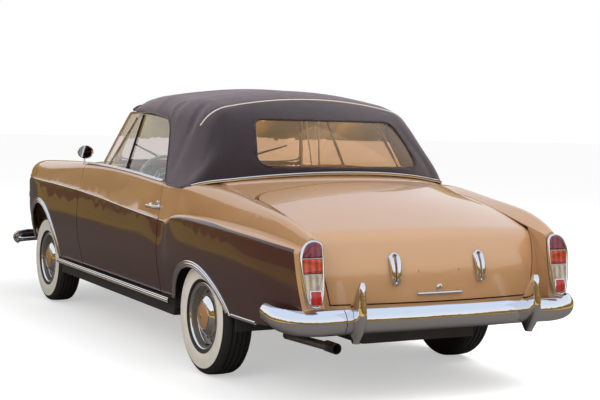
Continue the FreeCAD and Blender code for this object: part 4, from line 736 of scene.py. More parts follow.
rows = [(y, 0.0) for y in evenly(top["front"], top["turn"], top["straightRows"])[:-1]]
rows += [(top["turn"], lean) for lean in evenly(0, math.radians(top["end"]), top["fanRows"])]
sheet = bmesh.new()
bmesh.ops.create_grid(sheet, x_segments=top["columns"] - 1, y_segments=len(rows) - 1, size=0.5)
grid = sorted(sheet.verts, key=lambda v: (round(v.co.y * 5000), v.co.x))
topEdges, widest = [], 0.0
for k, row in enumerate(rows):
    spots, width = topRow(row, top["columns"])
    widest = max(widest, width)
    topEdges.append((spots[0], spots[-1]))
    for vert, spot in zip(grid[k * top["columns"]:(k + 1) * top["columns"]], spots):
        vert.co = spot
bmesh.ops.recalc_face_normals(sheet, faces=sheet.faces[:])
if sum(face.normal.z * face.calc_area() for face in sheet.faces) < 0:
    bmesh.ops.reverse_faces(sheet, faces=sheet.faces[:])
sheet.normal_update()


def besideLine(spot, one, other):
    span = other - one
    share = min(1, max(0, (spot - one).dot(span) / span.length_squared))
    return (spot - one - span * share).length


# the cloth rises over each bow and sinks a little between, and folds where the rear bow pulls it
moves = []
for vert in sheet.verts:
    spot = vert.co
    sink = 0.0
    if spot.z > 1.2 and spot.y < 0.84:
        lifts = [math.exp(-((spot.y - bow) / top["bowWide"]) ** 2) for bow in top["bows"] + (-0.36, 0.86)]
        sink = top["sag"] * (1 - max(lifts))
        sink *= min(1, (spot.z - 1.2) / 0.1)
    fold = 0.0
    mirrored = Vector((abs(spot.x), spot.y, spot.z))
    for one, other, deep, wide in top["folds"]:
        near = deep * math.exp(-(besideLine(mirrored, Vector(one), Vector(other)) / wide) ** 2)
        fold = near if abs(near) > abs(fold) else fold
    moves.append((vert, vert.normal * (min(fold, 0.006) - sink)))
for vert, move in moves:
    vert.co += move


def roundedOutline(corners, radius, steps=6):
    # a closed flat outline with rounded corners
    made = []
    for k, corner in enumerate(corners):
        corner = Vector(corner)
        before = (Vector(corners[k - 1]) - corner).normalized()
        after = (Vector(corners[(k + 1) % len(corners)]) - corner).normalized()
        back = radius / math.tan(before.angle(after) / 2)
        for step in range(steps + 1):
            share = step / steps
            made.append(corner + before * back * (1 - share) ** 2 + after * back * share ** 2)
    return made


def backSpot(foot):
    # the top's outer face behind a point of the rear window's outline, found a little outside
    # it where the edge is missed
    middle = 1.189
    for grow in (1.0, 1.02, 1.05, 0.97, 1.08):
        start = (foot.x * grow, 3, middle + (foot.y - middle) * grow)
        found = onSkin(topSkin, start, (0, -1, 0))[0]
        if found:
            return Vector((foot.x, found.y, foot.y))
    return Vector((foot.x, 1.2, foot.y))


windowLine = roundedOutline(top["window"], top["windowRound"])


def nearestOn(line, spot):
    best = None
    for one, other in zip(line, line[1:] + line[:1]):
        span = other - one
        share = min(1, max(0, (spot - one).dot(span) / max(span.length_squared, 1e-12)))
        foot = one + span * share
        if best is None or (foot - spot).length < (best - spot).length:
            best = foot
    return best


def insideOf(line, spot):
    pairs = zip(line, line[1:] + line[:1])
    return all((other - one).cross(spot - one) >= 0 for one, other in pairs if (other - one).length > 1e-6)


if sum(one.cross(other) for one, other in zip(windowLine, windowLine[1:] + windowLine[:1])) < 0:
    windowLine.reverse()
gone = []
for face in sheet.faces:
    spot = face.calc_center_median()
    if spot.y > top["windowPlane"] and insideOf(windowLine, Vector((spot.x, spot.z))):
        gone.append(face)
bmesh.ops.delete(sheet, geom=gone, context="FACES")
# the cut edge is drawn onto the window's outline
past, square, low, high = top["bind"]
for edge in [edge for edge in sheet.edges if edge.is_boundary]:
    for vert in edge.verts:
        flat = Vector((vert.co.x, vert.co.z))
        if vert.co.y > past and flat.x ** 2 < square and low < flat.y < high:
            vert.co = backSpot(nearestOn(windowLine, flat))
loose = [v for v in sheet.verts if not v.is_boundary and v.co.y > top["windowPlane"]]
bmesh.ops.smooth_vert(sheet, verts=loose, factor=0.5, use_axis_x=True, use_axis_y=True, use_axis_z=True)
flatArea = sum(face.calc_area() for face in sheet.faces)
data = bpy.data.meshes.new("softTop")
sheet.to_mesh(data)
sheet.free()
softTop = meshPiece("softTop", data, "shell", [topCloth, liner], 60)
wall = softTop.modifiers.new("wall", "SOLIDIFY")
wall.thickness = top["thick"]
wall.offset = -1
wall.material_offset = 1
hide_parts("soft_top")
print("soft top sheet", round(flatArea, 3))


# ---- edges of the top: hems, the pale welt over the rear bow, and the bright strip at its foot
edging = {
    "hem": (0.006, 0.016), "frontHem": (0.006, 0.014), "foot": (0.009, 0.016), "columns": 60,
    "weltRow": 9.5, "weltTurn": (30, 150), "weltOut": 0.002, "welt": 0.008,
    "binding": 0.010, "bindingOut": 0.001,
}
lastRow = topRow(rows[-1], edging["columns"])[0]
firstRow = topRow(rows[0], edging["columns"])[0]
for end, (side, door, mirror) in enumerate(sides):
    thick, high = edging["hem"]
    edge = [pair[end] for pair in topEdges]
    bead("topHem" + side, edge[::2], thick, "shell", topCloth, high)
thick, high = edging["frontHem"]
bead("topHemFront", firstRow, thick, "shell", topCloth, high)
thick, high = edging["foot"]
bead("topFootStrip", lastRow, thick, "shell", chrome, high)
print("hems made")

welt = Finish("welt", Roughness=0.6)
welt.feed("Base Color", welt.mix(welt.noise(300), tone(196, 182, 168), tone(226, 214, 200)))
welt.bump(welt.noise(900), 0.0003, 0.5)
bowLine = []
for turn in (math.radians(angle) for angle in evenly(*edging["weltTurn"], 40)):
    spot = topSpot((top["turn"], math.radians(edging["weltRow"])), turn)
    bowLine.append(spot + Vector((math.cos(turn), 0.1, math.sin(turn))) * edging["weltOut"])
bead("bowWelt", bowLine, edging["welt"], "shell", welt)

# the binding round the rear window
binding = [backSpot(spot) + Vector((0, edging["bindingOut"], 0)) for spot in windowLine]
bead("windowBinding", binding, edging["binding"], "shell", topCloth, closed=True)


# ---- bright trim along the body
def onSide(run, mirror, out=0.0, names=sideSkin):
    # points on the body's side from (y, z) pairs, with the panel's own x
    return met(names, [(1.3 * mirror, y, z) for y, z in run], (-mirror, 0, 0), out)


def creaseAt(y):
    for (y0, z0), (y1, z1) in zip(paint["crease"], paint["crease"][1:]):
        if y0 <= y <= y1:
            return blend(z0, z1, (y - y0) / (y1 - y0))
    return paint["crease"][-1][1]


trim = {
    "crease": 0.007, "creaseUp": 0.002, "creaseOut": 0.001,
    # each run's ends along the car and its steps; the gaps are the door's
    "runs": {"Fender": (-2.02, -0.6195, 30), "Door": (-0.6125, 0.7065, 24), "Hip": (0.7135, 0.835, 6)},
    "arches": {"Front": (-1.445, 0.358, 0.335), "Rear": (1.240, 0.194, 0.363)}, "archFoot": 0.345,
    "lips": (("Lip", 0.011, 0.018), ("LipInner", 0.000, 0.016), ("LipOuter", 0.024, 0.013)),
    "sillRun": (-1.085, 0.870), "sillTall": 0.012,
    "sill": ((0.836, 0.3370, 0.012), (0.838, 0.3275, 0.014), (0.836, 0.3180, 0.012)),
    "tailRun": (1.612, 2.062), "tailHigh": 0.36, "tail": (0.012, 0.018),
}
for side, door, mirror in sides:
    for name, (start, end, steps) in trim["runs"].items():
        run = [(y, creaseAt(y) + trim["creaseUp"]) for y in evenly(start, end, steps)]
        line = onSide(run, mirror, trim["creaseOut"])
        bead("crease" + name + side, line, trim["crease"], door if name == "Door" else "shell", chrome)

# the wide bright lips round the wheel openings, running into the sill moulding
for side, door, mirror in sides:
    for name, (y, z, radius) in trim["arches"].items():
        for edge, grow, thick in trim["lips"]:
            reach = radius + grow
            run = [(y - reach * math.cos(turn), z + reach * math.sin(turn))
                   for turn in evenly(-0.02 * math.pi, 1.02 * math.pi, 60)]
            line = onSide([spot for spot in run if spot[1] > trim["archFoot"]], mirror)
            bead("arch" + name + edge + side, line, thick, "shell", chrome)
    for row, (x, z, thick) in enumerate(trim["sill"]):
        line = [Vector((mirror * x, y, z)) for y in evenly(*trim["sillRun"], 40)]
        bead("sillMoulding" + str(row) + side, line, thick, "shell", chrome, trim["sillTall"])
    # behind the rear wheel the moulding carries on to the tail
    line = onSide([(y, trim["tailHigh"]) for y in evenly(*trim["tailRun"], 20)], mirror)
    thick, high = trim["tail"]
    bead("tailMoulding" + side, line, thick, "shell", chrome, high)
print("body trim made")

# ---- door handles: a pull on two feet with a button at its rear
handle = {
    "ends": (0.565, 0.700), "high": 0.818, "out": 0.032, "lift": 0.002, "arch": 2.2,
    "thick": 0.013, "tall": 0.020, "feet": (("Front", 0.571), ("Back", 0.692)), "buttonAt": (0.674, 0.842),
    "foot": [(-0.002, 0.0), (-0.002, 0.017), (0.002, 0.0175), (0.005, 0.014), (0.009, 0.009), (0.012, 0.0)],
    "button": [(-0.002, 0.0), (-0.002, 0.011), (0.006, 0.011), (0.008, 0.009), (0.010, 0.0)],
}


def onDoor(y, z, mirror):
    return onSkin(sideSkin, (1.3 * mirror, y, z), (-mirror, 0, 0))


for side, door, mirror in sides:
    line = []
    for share in evenly(0, 1, 16):
        spot, facing = onDoor(blend(*handle["ends"], share), handle["high"], mirror)
        out = handle["out"] * min(1, math.sin(math.pi * share) * handle["arch"])
        line.append(spot + Vector((mirror, 0, 0)) * (out + handle["lift"]))
    bead("handle" + side, line, handle["thick"], door, chrome, handle["tall"])
    for label, y in handle["feet"]:
        spot, facing = onDoor(y, handle["high"], mirror)
        fitting("handleFoot" + label + side, handle["foot"], spot, 28, facing, door)
    spot, facing = onDoor(*handle["buttonAt"], mirror)
    fitting("handleButton" + side, handle["button"], spot, 24, facing, door)

# ---- the belt: bright mouldings under the side glass
belt = {"marks": (-0.60, -0.44, -0.215, 0.325, 0.655), "inset": 0.788,
        "rows": ((0.012, 0.0, 0.004), (0.010, 0.012, 0.0))}
beltRun = [y for one, other in zip(belt["marks"], belt["marks"][1:]) for y in evenly(one, other, 8)[:-1]]
beltRun.append(belt["marks"][-1])
for side, door, mirror in sides:
    for row, (thick, out, up) in enumerate(belt["rows"]):
        line = met(sideSkin, [(belt["inset"] * mirror, y, 1.4) for y in beltRun], (0, 0, -1))
        line = [spot + Vector((mirror * out, 0, up)) for spot in line]
        bead("doorBelt" + str(row) + side, line, thick, door, chrome)
print("belt made")


# ---- frames round the glass
def rimOf(name, centre, across, up, look, reach, turns):
    # the outline of a pane, felt out from its centre along each angle; look is the way it is seen
    centre, across, up, look = Vector(centre), Vector(across), Vector(up), Vector(look)
    made = []
    for turn in turns:
        way = across * math.cos(turn) + up * math.sin(turn)
        low, high, last = 0.02, reach, None
        for step in range(13):
            half = (low + high) / 2
            spot, facing = onSkin((name,), centre + way * half - look * 0.6, look)
            if spot:
                low, last = half, spot
            else:
                high = half
        if last:
            made.append(last)
    return made


glass = {
    "side": (0.70, 0.12, 1.08), "turns": (-14, 194), "foot": 0.965,
    "frame": (0.010, 0.016), "frameOut": 0.003,
    # the quarter vent's bars: finish, thickness, foot along the car, and how far it runs back and up
    "vent": (("Seal", rubber, 0.016, 0.001, -0.054, 0.318), ("Post", chrome, 0.010, -0.012, -0.054, 0.318),
             ("Front", chrome, 0.012, -0.337, 0.174, 0.300)), "ventFoot": 1.0, "ventOut": 0.004,
    "screen": (0, -0.5, 1.17), "screenTrim": 0.011,
}
for side, door, mirror in sides:
    pane = "door_glass_" + side.lower()
    turns = [math.radians(angle) for angle in evenly(*glass["turns"], 90)]
    x, y, z = glass["side"]
    rim = rimOf(pane, (x * mirror, y, z), (0, 1, 0), (0, 0, 1), (-mirror, 0, 0), 0.75, turns)
    line = [spot + Vector((glass["frameOut"] * mirror, 0, 0)) for spot in rim if spot.z > glass["foot"]]
    thick, high = glass["frame"]
    bead("glassFrame" + side, line, thick, door, chrome, high)
    for label, finish, thick, start, back, rise in glass["vent"]:
        run = [(start + back * share, glass["ventFoot"] + rise * share) for share in evenly(0, 1, 8)]
        lift = Vector((glass["ventOut"] * mirror, 0, 0))
        line = [spot + lift for spot in onSide(run, mirror, names=(pane,))]
        bead("vent" + label + side, line, thick, door, finish)

turns = evenly(0, math.tau, 96)[:-1]
rim = rimOf("windshield_glass", glass["screen"], (1, 0, 0), (0, 0, 1), (0, 1, 0), 0.80, turns)
line = [spot + Vector((0, -0.003, 0.001)) for spot in rim]
bead("windshieldTrim", line, glass["screenTrim"], "shell", chrome, closed=True)
print("glass framed", len(rim))

# ---- what stands on the lid: twin ribs each side, the lock and the strip under the plate
lid = {
    "ribs": (("Outer", 0.256, 0.259), ("Inner", 0.230, 0.222)), "low": 0.568, "high": 0.690, "out": 0.012,
    "thick": 0.024, "knobAt": (0.243, 0.564), "capUp": 0.012, "capOut": 0.006, "cap": 0.014,
    "knob": [(-0.002, 0.0), (-0.002, 0.010), (0.006, 0.011), (0.012, 0.009), (0.016, 0.0)],
    "lockHigh": 0.541, "lock": [(-0.002, 0.0), (-0.002, 0.017), (0.003, 0.017), (0.006, 0.014),
                                (0.007, 0.010), (0.005, 0.009), (0.005, 0.0)],
    "strip": (-0.126, 0.126), "stripHigh": 0.514, "stripOut": 0.006, "stripSize": (0.012, 0.014),
}


lidSkin = ("trunk_lid",)


def onLid(x, z):
    return onSkin(lidSkin, (x, 3, z), (0, -1, 0))


for side, door, mirror in sides:
    for label, foot, head in lid["ribs"]:
        line = []
        for share in evenly(0, 1, 16):
            spot, facing = onLid(blend(foot, head, share) * mirror, blend(lid["low"], lid["high"], share))
            swell = lid["out"] * math.sin(math.pi * min(1, 0.08 + share * 0.92)) ** 0.5
            line.append(spot + facing * swell)
        bead("lidRib" + label + side, line, lid["thick"], "trunk_cover", chrome)
    x, z = lid["knobAt"]
    spot, facing = onLid(x * mirror, z)
    fitting("lidKnob" + side, lid["knob"], spot, 24, facing, "trunk_cover")
    # the top of each pair is bridged by a small cap
    heads = [head for label, foot, head in reversed(lid["ribs"])]
    run = [(blend(*heads, share) * mirror, 3, lid["high"] + lid["capUp"] * math.sin(math.pi * share))
           for share in evenly(0, 1, 6)]
    line = met(lidSkin, run, (0, -1, 0), lid["capOut"])
    bead("lidRibCap" + side, line, lid["cap"], "trunk_cover", chrome)
spot, facing = onLid(0, lid["lockHigh"])
fitting("lidLock", lid["lock"], spot, 32, facing, "trunk_cover")
run = [(x, 3, lid["stripHigh"]) for x in evenly(*lid["strip"], 24)]
line = met(lidSkin, run, (0, -1, 0), lid["stripOut"])
thick, high = lid["stripSize"]
bead("plateStrip", line, thick, "trunk_cover", chrome, high)
print("lid furnished")

# ---- the mirror on the left door
mirrorHead = {
    "centre": (0.792, -0.668, 1.070), "half": (0.052, 0.026, 0.043), "stemThick": 0.012,
    "outline": [(-1.0, 0.0), (-0.96, 0.34), (-0.80, 0.66), (-0.45, 0.90), (0.0, 1.0), (0.35, 1.0),
                (0.45, 0.965), (0.45, 0.93), (0.30, 0.90), (0.30, 0.0)],
    "stem": [(0.800, -0.660, 0.985), (0.800, -0.664, 1.010), (0.796, -0.668, 1.036), (0.792, -0.670, 1.056)],
}
shape = spun(mirrorHead["outline"], (0, 0, 0), 48, (0, 1, 0))
bmesh.ops.scale(shape, vec=mirrorHead["half"], verts=shape.verts[:])
bmesh.ops.translate(shape, vec=mirrorHead["centre"], verts=shape.verts[:])
head = piece("mirrorHead", shape, "left_door", chrome)
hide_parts("door_mirror")
bead("mirrorStem", mirrorHead["stem"], mirrorHead["stemThick"], "left_door", chrome)
print("mirror made")


# ---- seats: leather blown up from a slightly smaller form, then sewn into pleats
pads = {"sunk": 0.014, "cap": 0.022, "force": 4, "stiff": 12, "frames": 20, "held": 0.03, "fill": 0.6}


def applied(obj):
    return bpy.data.meshes.new_from_object(obj.evaluated_get(bpy.context.evaluated_depsgraph_get()))


def fillPad(pad):
    # presses the leather outward from inside, its foot held, and lets no point move past the cap
    start = [vert.co.copy() for vert in pad.data.vertices]
    floor = min(spot.z for spot in start)
    held = pad.vertex_groups.new(name="held")
    held.add([k for k, spot in enumerate(start) if spot.z < floor + pads["held"]], 1.0, "REPLACE")
    cloth = pad.modifiers.new("fill", "CLOTH")
    cloth.settings.use_pressure = True
    cloth.settings.uniform_pressure_force = pads["force"]
    cloth.settings.effector_weights.gravity = 0
    cloth.settings.vertex_group_mass = "held"
    cloth.settings.tension_stiffness = cloth.settings.compression_stiffness = pads["stiff"]
    cloth.settings.quality = 4
    cloth.point_cache.frame_start, cloth.point_cache.frame_end = 1, pads["frames"]
    for step in range(1, pads["frames"] + 1):
        scene.frame_set(step)
    filled = applied(pad)
    pad.modifiers.clear()
    pad.vertex_groups.clear()
    for vert, spot, full in zip(pad.data.vertices, start, filled.vertices):
        move = full.co - spot
        vert.co = spot + move * min(1, pads["cap"] / max(move.length, 1e-9))
    scene.frame_set(1)


def padOf(name, voxel):
    # the node's own form, remeshed evenly, drawn in, and filled with pressure
    shape = bmesh.new()
    shape.from_mesh(nodes[name].data)
    bmesh.ops.remove_doubles(shape, verts=shape.verts[:], dist=0.0002)
    data = bpy.data.meshes.new(name + "Pad")
    shape.to_mesh(data)
    shape.free()
    pad = bpy.data.objects.new(name + "Pad", data)
    scene.collection.objects.link(pad)
    even = pad.modifiers.new("even", "REMESH")
    even.mode = "VOXEL"
    even.voxel_size = voxel
    drawn = pad.modifiers.new("drawn", "DISPLACE")
    drawn.mid_level = 0
    drawn.strength = -pads["sunk"]
    eased = pad.modifiers.new("eased", "CORRECTIVE_SMOOTH")
    eased.iterations = 6
    eased.use_only_smooth = True
    pad.data = applied(pad)
    pad.modifiers.clear()
    fillPad(pad)
    fine = pad.modifiers.new("fine", "SUBSURF")
    fine.levels = fine.render_levels = 1
    pad.data = applied(pad)
    pad.modifiers.clear()
    pad.data.materials.clear()
    pad.data.materials.append(leather.material)
    pad.data.shade_smooth()
    return pad


def sewn(pad, grooves):
    # grooves are (test, deep, wide): test gives how far a point lies from the stitching, or none
    shape = bmesh.new()
    shape.from_mesh(pad.data)
    shape.normal_update()
    moves = []
    for vert in shape.verts:
        sink = 0.0
        for test, deep, wide in grooves:
            away = test(vert.co)
            if away is not None:
                sink = max(sink, deep * math.exp(-(away / wide) ** 2))
        moves.append(vert.normal * -sink)
    for vert, move in zip(shape.verts, moves):
        vert.co += move
    shape.to_mesh(pad.data)
    shape.free()


def pleats(middle, half, pitch, low, high):
    # sewn channels running along the seat's length between its two side rolls
    def test(spot):
        across = spot.x - middle
        if abs(across) > half or not low < spot.y < high or spot.z < 0.44:
            return None
        return abs((across / pitch) - round(across / pitch)) * pitch
    return test


def piping(middle, half):
    # the seam between the pleats and the side rolls
    return lambda spot: abs(abs(spot.x - middle) - half) if spot.z > 0.42 else None


def seat(name, voxel, grooves):
    pad = padOf(name, voxel)
    sewn(pad, grooves)
    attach(pad, "shell")
    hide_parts(name)


def apron(spot):
    # the seam along the front of a front seat's cushion
    return abs(spot.z - 0.395) if spot.y < 0.2 else None


for side, middle in (("left", 0.405), ("right", -0.405)):
    seat("front_seat_" + side, 0.012, [(pleats(middle, 0.17, 0.048, -0.12, 0.36), 0.006, 0.007),
                                       (piping(middle, 0.185), 0.009, 0.008), (apron, 0.005, 0.007)])
seat("rear_seat", 0.013, [(pleats(0, 0.42, 0.055, 0.68, 0.96), 0.006, 0.008),
                          (piping(0, 0.44), 0.009, 0.009)])
print("seats filled")


# ---- headlamps: bright bezel, silvered bowl, ribbed lens and bulb
headLens = Finish("headLens", Base_Color=(0.95, 0.97, 0.98), Transmission_Weight=0.9, IOR=1.4)
headLens.feed("Roughness", headLens.noise(30) * 0.03 + 0.02)
wave = {"wave_type": "BANDS", "bands_direction": "X"}
flute = headLens.node("ShaderNodeTexWave", wave, {"Vector": headLens.where, "Scale": 28.0}, "Fac")
headLens.bump(flute, 0.002, 0.8)
headlamp = {
    "centre": (0.618, -2.170, 0.700),
    "bezel": [(0.000, 0.0945), (0.014, 0.0955), (0.026, 0.092), (0.035, 0.086), (0.0375, 0.081),
              (0.035, 0.077), (0.020, 0.0755), (0.000, 0.0755), (0.000, 0.0945)],
    "bowl": [(0.021, 0.0752), (0.010, 0.0745), (0.002, 0.068), (-0.004, 0.052), (-0.007, 0.026),
             (-0.008, 0.0)],
    "lens": [(0.022, 0.0), (0.0215, 0.050), (0.021, 0.0745), (0.0235, 0.0752), (0.0265, 0.068),
             (0.031, 0.050), (0.034, 0.026), (0.035, 0.0)],
    "bulb": [(-0.007, 0.0), (-0.007, 0.010), (0.004, 0.010), (0.006, 0.008), (0.014, 0.009),
             (0.018, 0.004), (0.0185, 0.0)],
}
parking = {
    "skin": ("front_fender_left", "front_fender_right", "nose_panel"), "at": (0.600, 0.562),
    "rim": [(-0.004, 0.0), (-0.004, 0.034), (0.004, 0.035), (0.009, 0.032), (0.010, 0.028),
            (0.006, 0.026), (0.002, 0.0)],
    "dome": [(0.003, 0.0), (0.003, 0.026), (0.010, 0.0255), (0.017, 0.018), (0.020, 0.008), (0.0205, 0.0)],
}
ahead = (0, -1, 0)
for side, door, mirror in sides:
    x, y, z = headlamp["centre"]
    centre = (x * mirror, y, z)
    ring = fitting("headlampBezel" + side, headlamp["bezel"], centre, 72, ahead, "shell")
    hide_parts("headlamps")
    bowl = spun(headlamp["bowl"], centre, 56, ahead)
    piece("headlampBowl" + side, bowl, "shell", chrome, outward=False)
    fitting("headlampLens" + side, headlamp["lens"], centre, 72, ahead, "shell", headLens)
    fitting("headlampBulb" + side, headlamp["bulb"], centre, 20, ahead, "shell", headLens)
    # a parking lamp under each headlamp
    x, z = parking["at"]
    spot, facing = onSkin(parking["skin"], (x * mirror, -4, z), (0, 1, 0))
    fitting("parkingRim" + side, parking["rim"], spot, 40, facing, "shell")
    amber = lensFinishes["lampOrange"]
    fitting("parkingLens" + side, parking["dome"], spot, 40, facing, "shell", amber)
print("headlamps made")

# ---- under the cloth: the steel bows it lies on
bowSteel = Finish("bowSteel", Metallic=0.6, Base_Color=(0.05, 0.045, 0.04))
bowSteel.feed("Roughness", bowSteel.noise(40, 3) * 0.2 + 0.35)
bows = {"rear": 0.86, "rearLean": 7.5, "under": 0.017, "thick": 0.016}
for number, y in enumerate(top["bows"] + (bows["rear"],)):
    row = (y, 0.0) if y < top["turn"] else (top["turn"], math.radians(bows["rearLean"]))
    line = []
    for spot in topRow(row, 41)[0][1:-1]:
        line.append(spot + (Vector((0, spot.y, top["spine"])) - spot).normalized() * bows["under"])
    bead("topBow%d" % number, line, bows["thick"], "shell", bowSteel)

# ---- wipers at the foot of the windshield
wiper = {
    "foot": (0.22, -0.655), "tip": (0.47, 1.105), "lift": 0.012,
    "elbowShare": 0.4, "elbow": (0, -0.012, 0.012), "arm": 0.006,
    "blade": (0.006, 0.011), "bladeX": (0.33, 0.55), "bladeZ": (1.050, 1.135), "bladeOut": 0.005,
    "pivot": [(-0.002, 0.0), (-0.002, 0.013), (0.006, 0.013), (0.012, 0.008), (0.016, 0.0)],
}
screen = ("windshield_glass",)
for side, door, mirror in sides:
    x, y = wiper["foot"]
    foot, facing = onSkin(("cowl_panel", "windshield_frame"), (x * mirror, y, 1.4), (0, 0, -1))
    x, z = wiper["tip"]
    tip, away = onSkin(screen, (x * mirror, -2, z), (0, 1, 0))
    fitting("wiperPivot" + side, wiper["pivot"], foot, 24, (0, 0, 1), "shell")
    elbow = foot.lerp(tip, wiper["elbowShare"]) + Vector(wiper["elbow"])
    line = [foot + Vector((0, 0, wiper["lift"])), elbow, tip + away * wiper["lift"]]
    bead("wiperArm" + side, line, wiper["arm"], "shell", chrome)
    run = [(blend(*wiper["bladeX"], share) * mirror, -2, blend(*wiper["bladeZ"], share))
           for share in evenly(0, 1, 12)]
    thick, high = wiper["blade"]
    line = met(screen, run, (0, 1, 0), wiper["bladeOut"])
    bead("wiperBlade" + side, line, thick, "shell", rubber, high)
print("wipers made")

# ---- inside: dials, horn ring, lever, pedals, visors and the doors' fittings
dial = Finish("dial", Roughness=0.3)
wave = {"wave_type": "RINGS", "rings_direction": "Y"}
ticks = dial.node("ShaderNodeTexWave", wave, {"Vector": dial.where, "Scale": 30.0}, "Fac")
dial.feed("Base Color", dial.mix(ticks.over(0.92, 0.05), (0.012, 0.012, 0.014), (0.75, 0.72, 0.62)))
dash = {
    "dials": (("Speed", 0.43, 0.052), ("Engine", 0.30, 0.052), ("Clock", 0.02, 0.032)), "dialHigh": 0.925,
    # the rim and the face as (along, radius less than the dial's)
    "rim": [(-0.003, 0.004), (-0.003, 0), (0.010, 0), (0.013, 0.003), (0.010, 0.008), (0.004, 0.008),
            (0.004, 0.004)],
    "face": ((-0.001, 0.003), (0.004, 0.005)),
    "needle": (-0.55, 0, 0.6), "needleOut": 0.006, "needleThick": 0.0022,
    "strip": (-0.62, 0.62), "stripHigh": 0.848, "stripOut": 0.002, "stripSize": (0.006, 0.012),
}
dashSkin = ("dashboard",)
for label, x, radius in dash["dials"]:
    spot, facing = onSkin(dashSkin, (x, 0.5, dash["dialHigh"]), (0, -1, 0))
    rim = [(along, radius - less) for along, less in dash["rim"]]
    fitting("dialRim" + label, rim, spot, 48, facing, "shell")
    (back, backLess), (front, frontLess) = dash["face"]
    face = [(back, 0.0), (back, radius - backLess), (front, radius - frontLess), (front, 0.0)]
    fitting("dialFace" + label, face, spot, 48, facing, "shell", dial)
    foot = spot + facing * dash["needleOut"]
    bead("dialNeedle" + label, [foot, foot + Vector(dash["needle"]) * radius], dash["needleThick"], "shell",
         ivory)
run = [(x, 0.5, dash["stripHigh"]) for x in evenly(*dash["strip"], 30)]
thick, high = dash["stripSize"]
bead("dashStrip", met(dashSkin, run, (0, -1, 0), dash["stripOut"]), thick, "shell", chrome, high)

horn = {
    "centre": (0.370, -0.250, 0.872), "tilt": 27, "radius": 0.118, "ring": 0.007, "ringOut": 0.020,
    "spoke": 0.006, "spokeIn": 0.03, "spokeOuts": (0.022, 0.021),
    "button": [(0.0, 0.0), (0.0, 0.036), (0.020, 0.036), (0.030, 0.028), (0.033, 0.014), (0.034, 0.0)],
}
centre, tilt = Vector(horn["centre"]), math.radians(horn["tilt"])
axle = Vector((0, math.cos(tilt), math.sin(tilt)))
up = Vector((0, -math.sin(tilt), math.cos(tilt)))
line = []
for turn in evenly(0, math.tau, 40)[:-1]:
    out = Vector((1, 0, 0)) * math.cos(turn) + up * math.sin(turn)
    line.append(centre + axle * horn["ringOut"] + out * horn["radius"])
bead("hornRing", line, horn["ring"], "hand_wheel", chrome, closed=True)
for turn in (math.pi, 0):
    out = Vector((math.cos(turn), 0, 0))
    inner, outer = (centre + axle * lift for lift in horn["spokeOuts"])
    line = [inner + out * horn["spokeIn"], outer + out * horn["radius"]]
    bead("hornSpoke%d" % round(turn), line, horn["spoke"], "hand_wheel", chrome)
fitting("hornButton", horn["button"], centre, 40, axle, "hand_wheel", ivory)

inside = {
    "lever": [(0, -0.42, 0.50), (0, -0.40, 0.60), (0, -0.36, 0.70), (0, -0.34, 0.76)], "leverThick": 0.011,
    "knob": [(-0.018, 0.0), (-0.014, 0.012), (-0.004, 0.019), (0.008, 0.018), (0.016, 0.010), (0.019, 0.0)],
    "knobAt": (0, -0.335, 0.775), "knobAxis": (0, 0.3, 0.95),
    "pedals": (0.27, 0.37, 0.48), "pedal": (0.026, 0.006, 0.036), "pedalAt": (-0.79, 0.40), "pedalLean": -38,
    "pedalArm": ((-0.80, 0.40), (-0.85, 0.44), (-0.90, 0.52)), "pedalArmThick": 0.012,
    "visor": (0.19, 0.006, 0.065), "visorAt": (0.33, -0.315, 1.355), "visorLean": 62,
    "mirror": (0.085, 0.007, 0.024), "mirrorAt": (0, -0.350, 1.320), "mirrorStemThick": 0.009,
    "mirrorStem": [(0, -0.350, 1.335), (0, -0.365, 1.365), (0, -0.385, 1.385)],
    "rest": (0.024, 0.16, 0.020), "restAt": (0.12, 0.66), "restIn": 0.020, "restFill": 0.8,
    "cranks": (("Winder", -0.12, 0.60, 0.070), ("Latch", 0.36, 0.74, 0.055)), "crank": 0.009,
    "boss": [(-0.001, 0.0), (-0.001, 0.019), (0.008, 0.018), (0.014, 0.010), (0.016, 0.0)],
}


def slab(half, spot, edge, segments, lean=None):
    # a rounded box of the given half sizes, leaned about the car's width, at a spot
    half = Vector(half)
    turn = Matrix.Rotation(math.radians(lean), 3, "X") if lean else None
    shape = block(-half, half, edge, segments, turn)
    bmesh.ops.translate(shape, vec=spot, verts=shape.verts[:])
    return shape


bead("gearLever", inside["lever"], inside["leverThick"], "shell", chrome)
fitting("gearKnob", inside["knob"], inside["knobAt"], 28, inside["knobAxis"], "shell", ivory)
for number, x in enumerate(inside["pedals"]):
    pedal = slab(inside["pedal"], (x, *inside["pedalAt"]), 0.004, 3, inside["pedalLean"])
    piece("pedal%d" % number, pedal, "shell", rubber)
    line = [(x, y, z) for y, z in inside["pedalArm"]]
    bead("pedalArm%d" % number, line, inside["pedalArmThick"], "shell", chassisPaint)
for side, door, mirror in sides:
    x, y, z = inside["visorAt"]
    visor = slab(inside["visor"], (x * mirror, y, z), 0.005, 3, inside["visorLean"])
    piece("visor" + side, visor, "shell", liner)
glassHead = slab(inside["mirror"], inside["mirrorAt"], 0.006, 3)
piece("innerMirror", glassHead, "shell", chrome)
bead("innerMirrorStem", inside["mirrorStem"], inside["mirrorStemThick"], "shell", chrome)

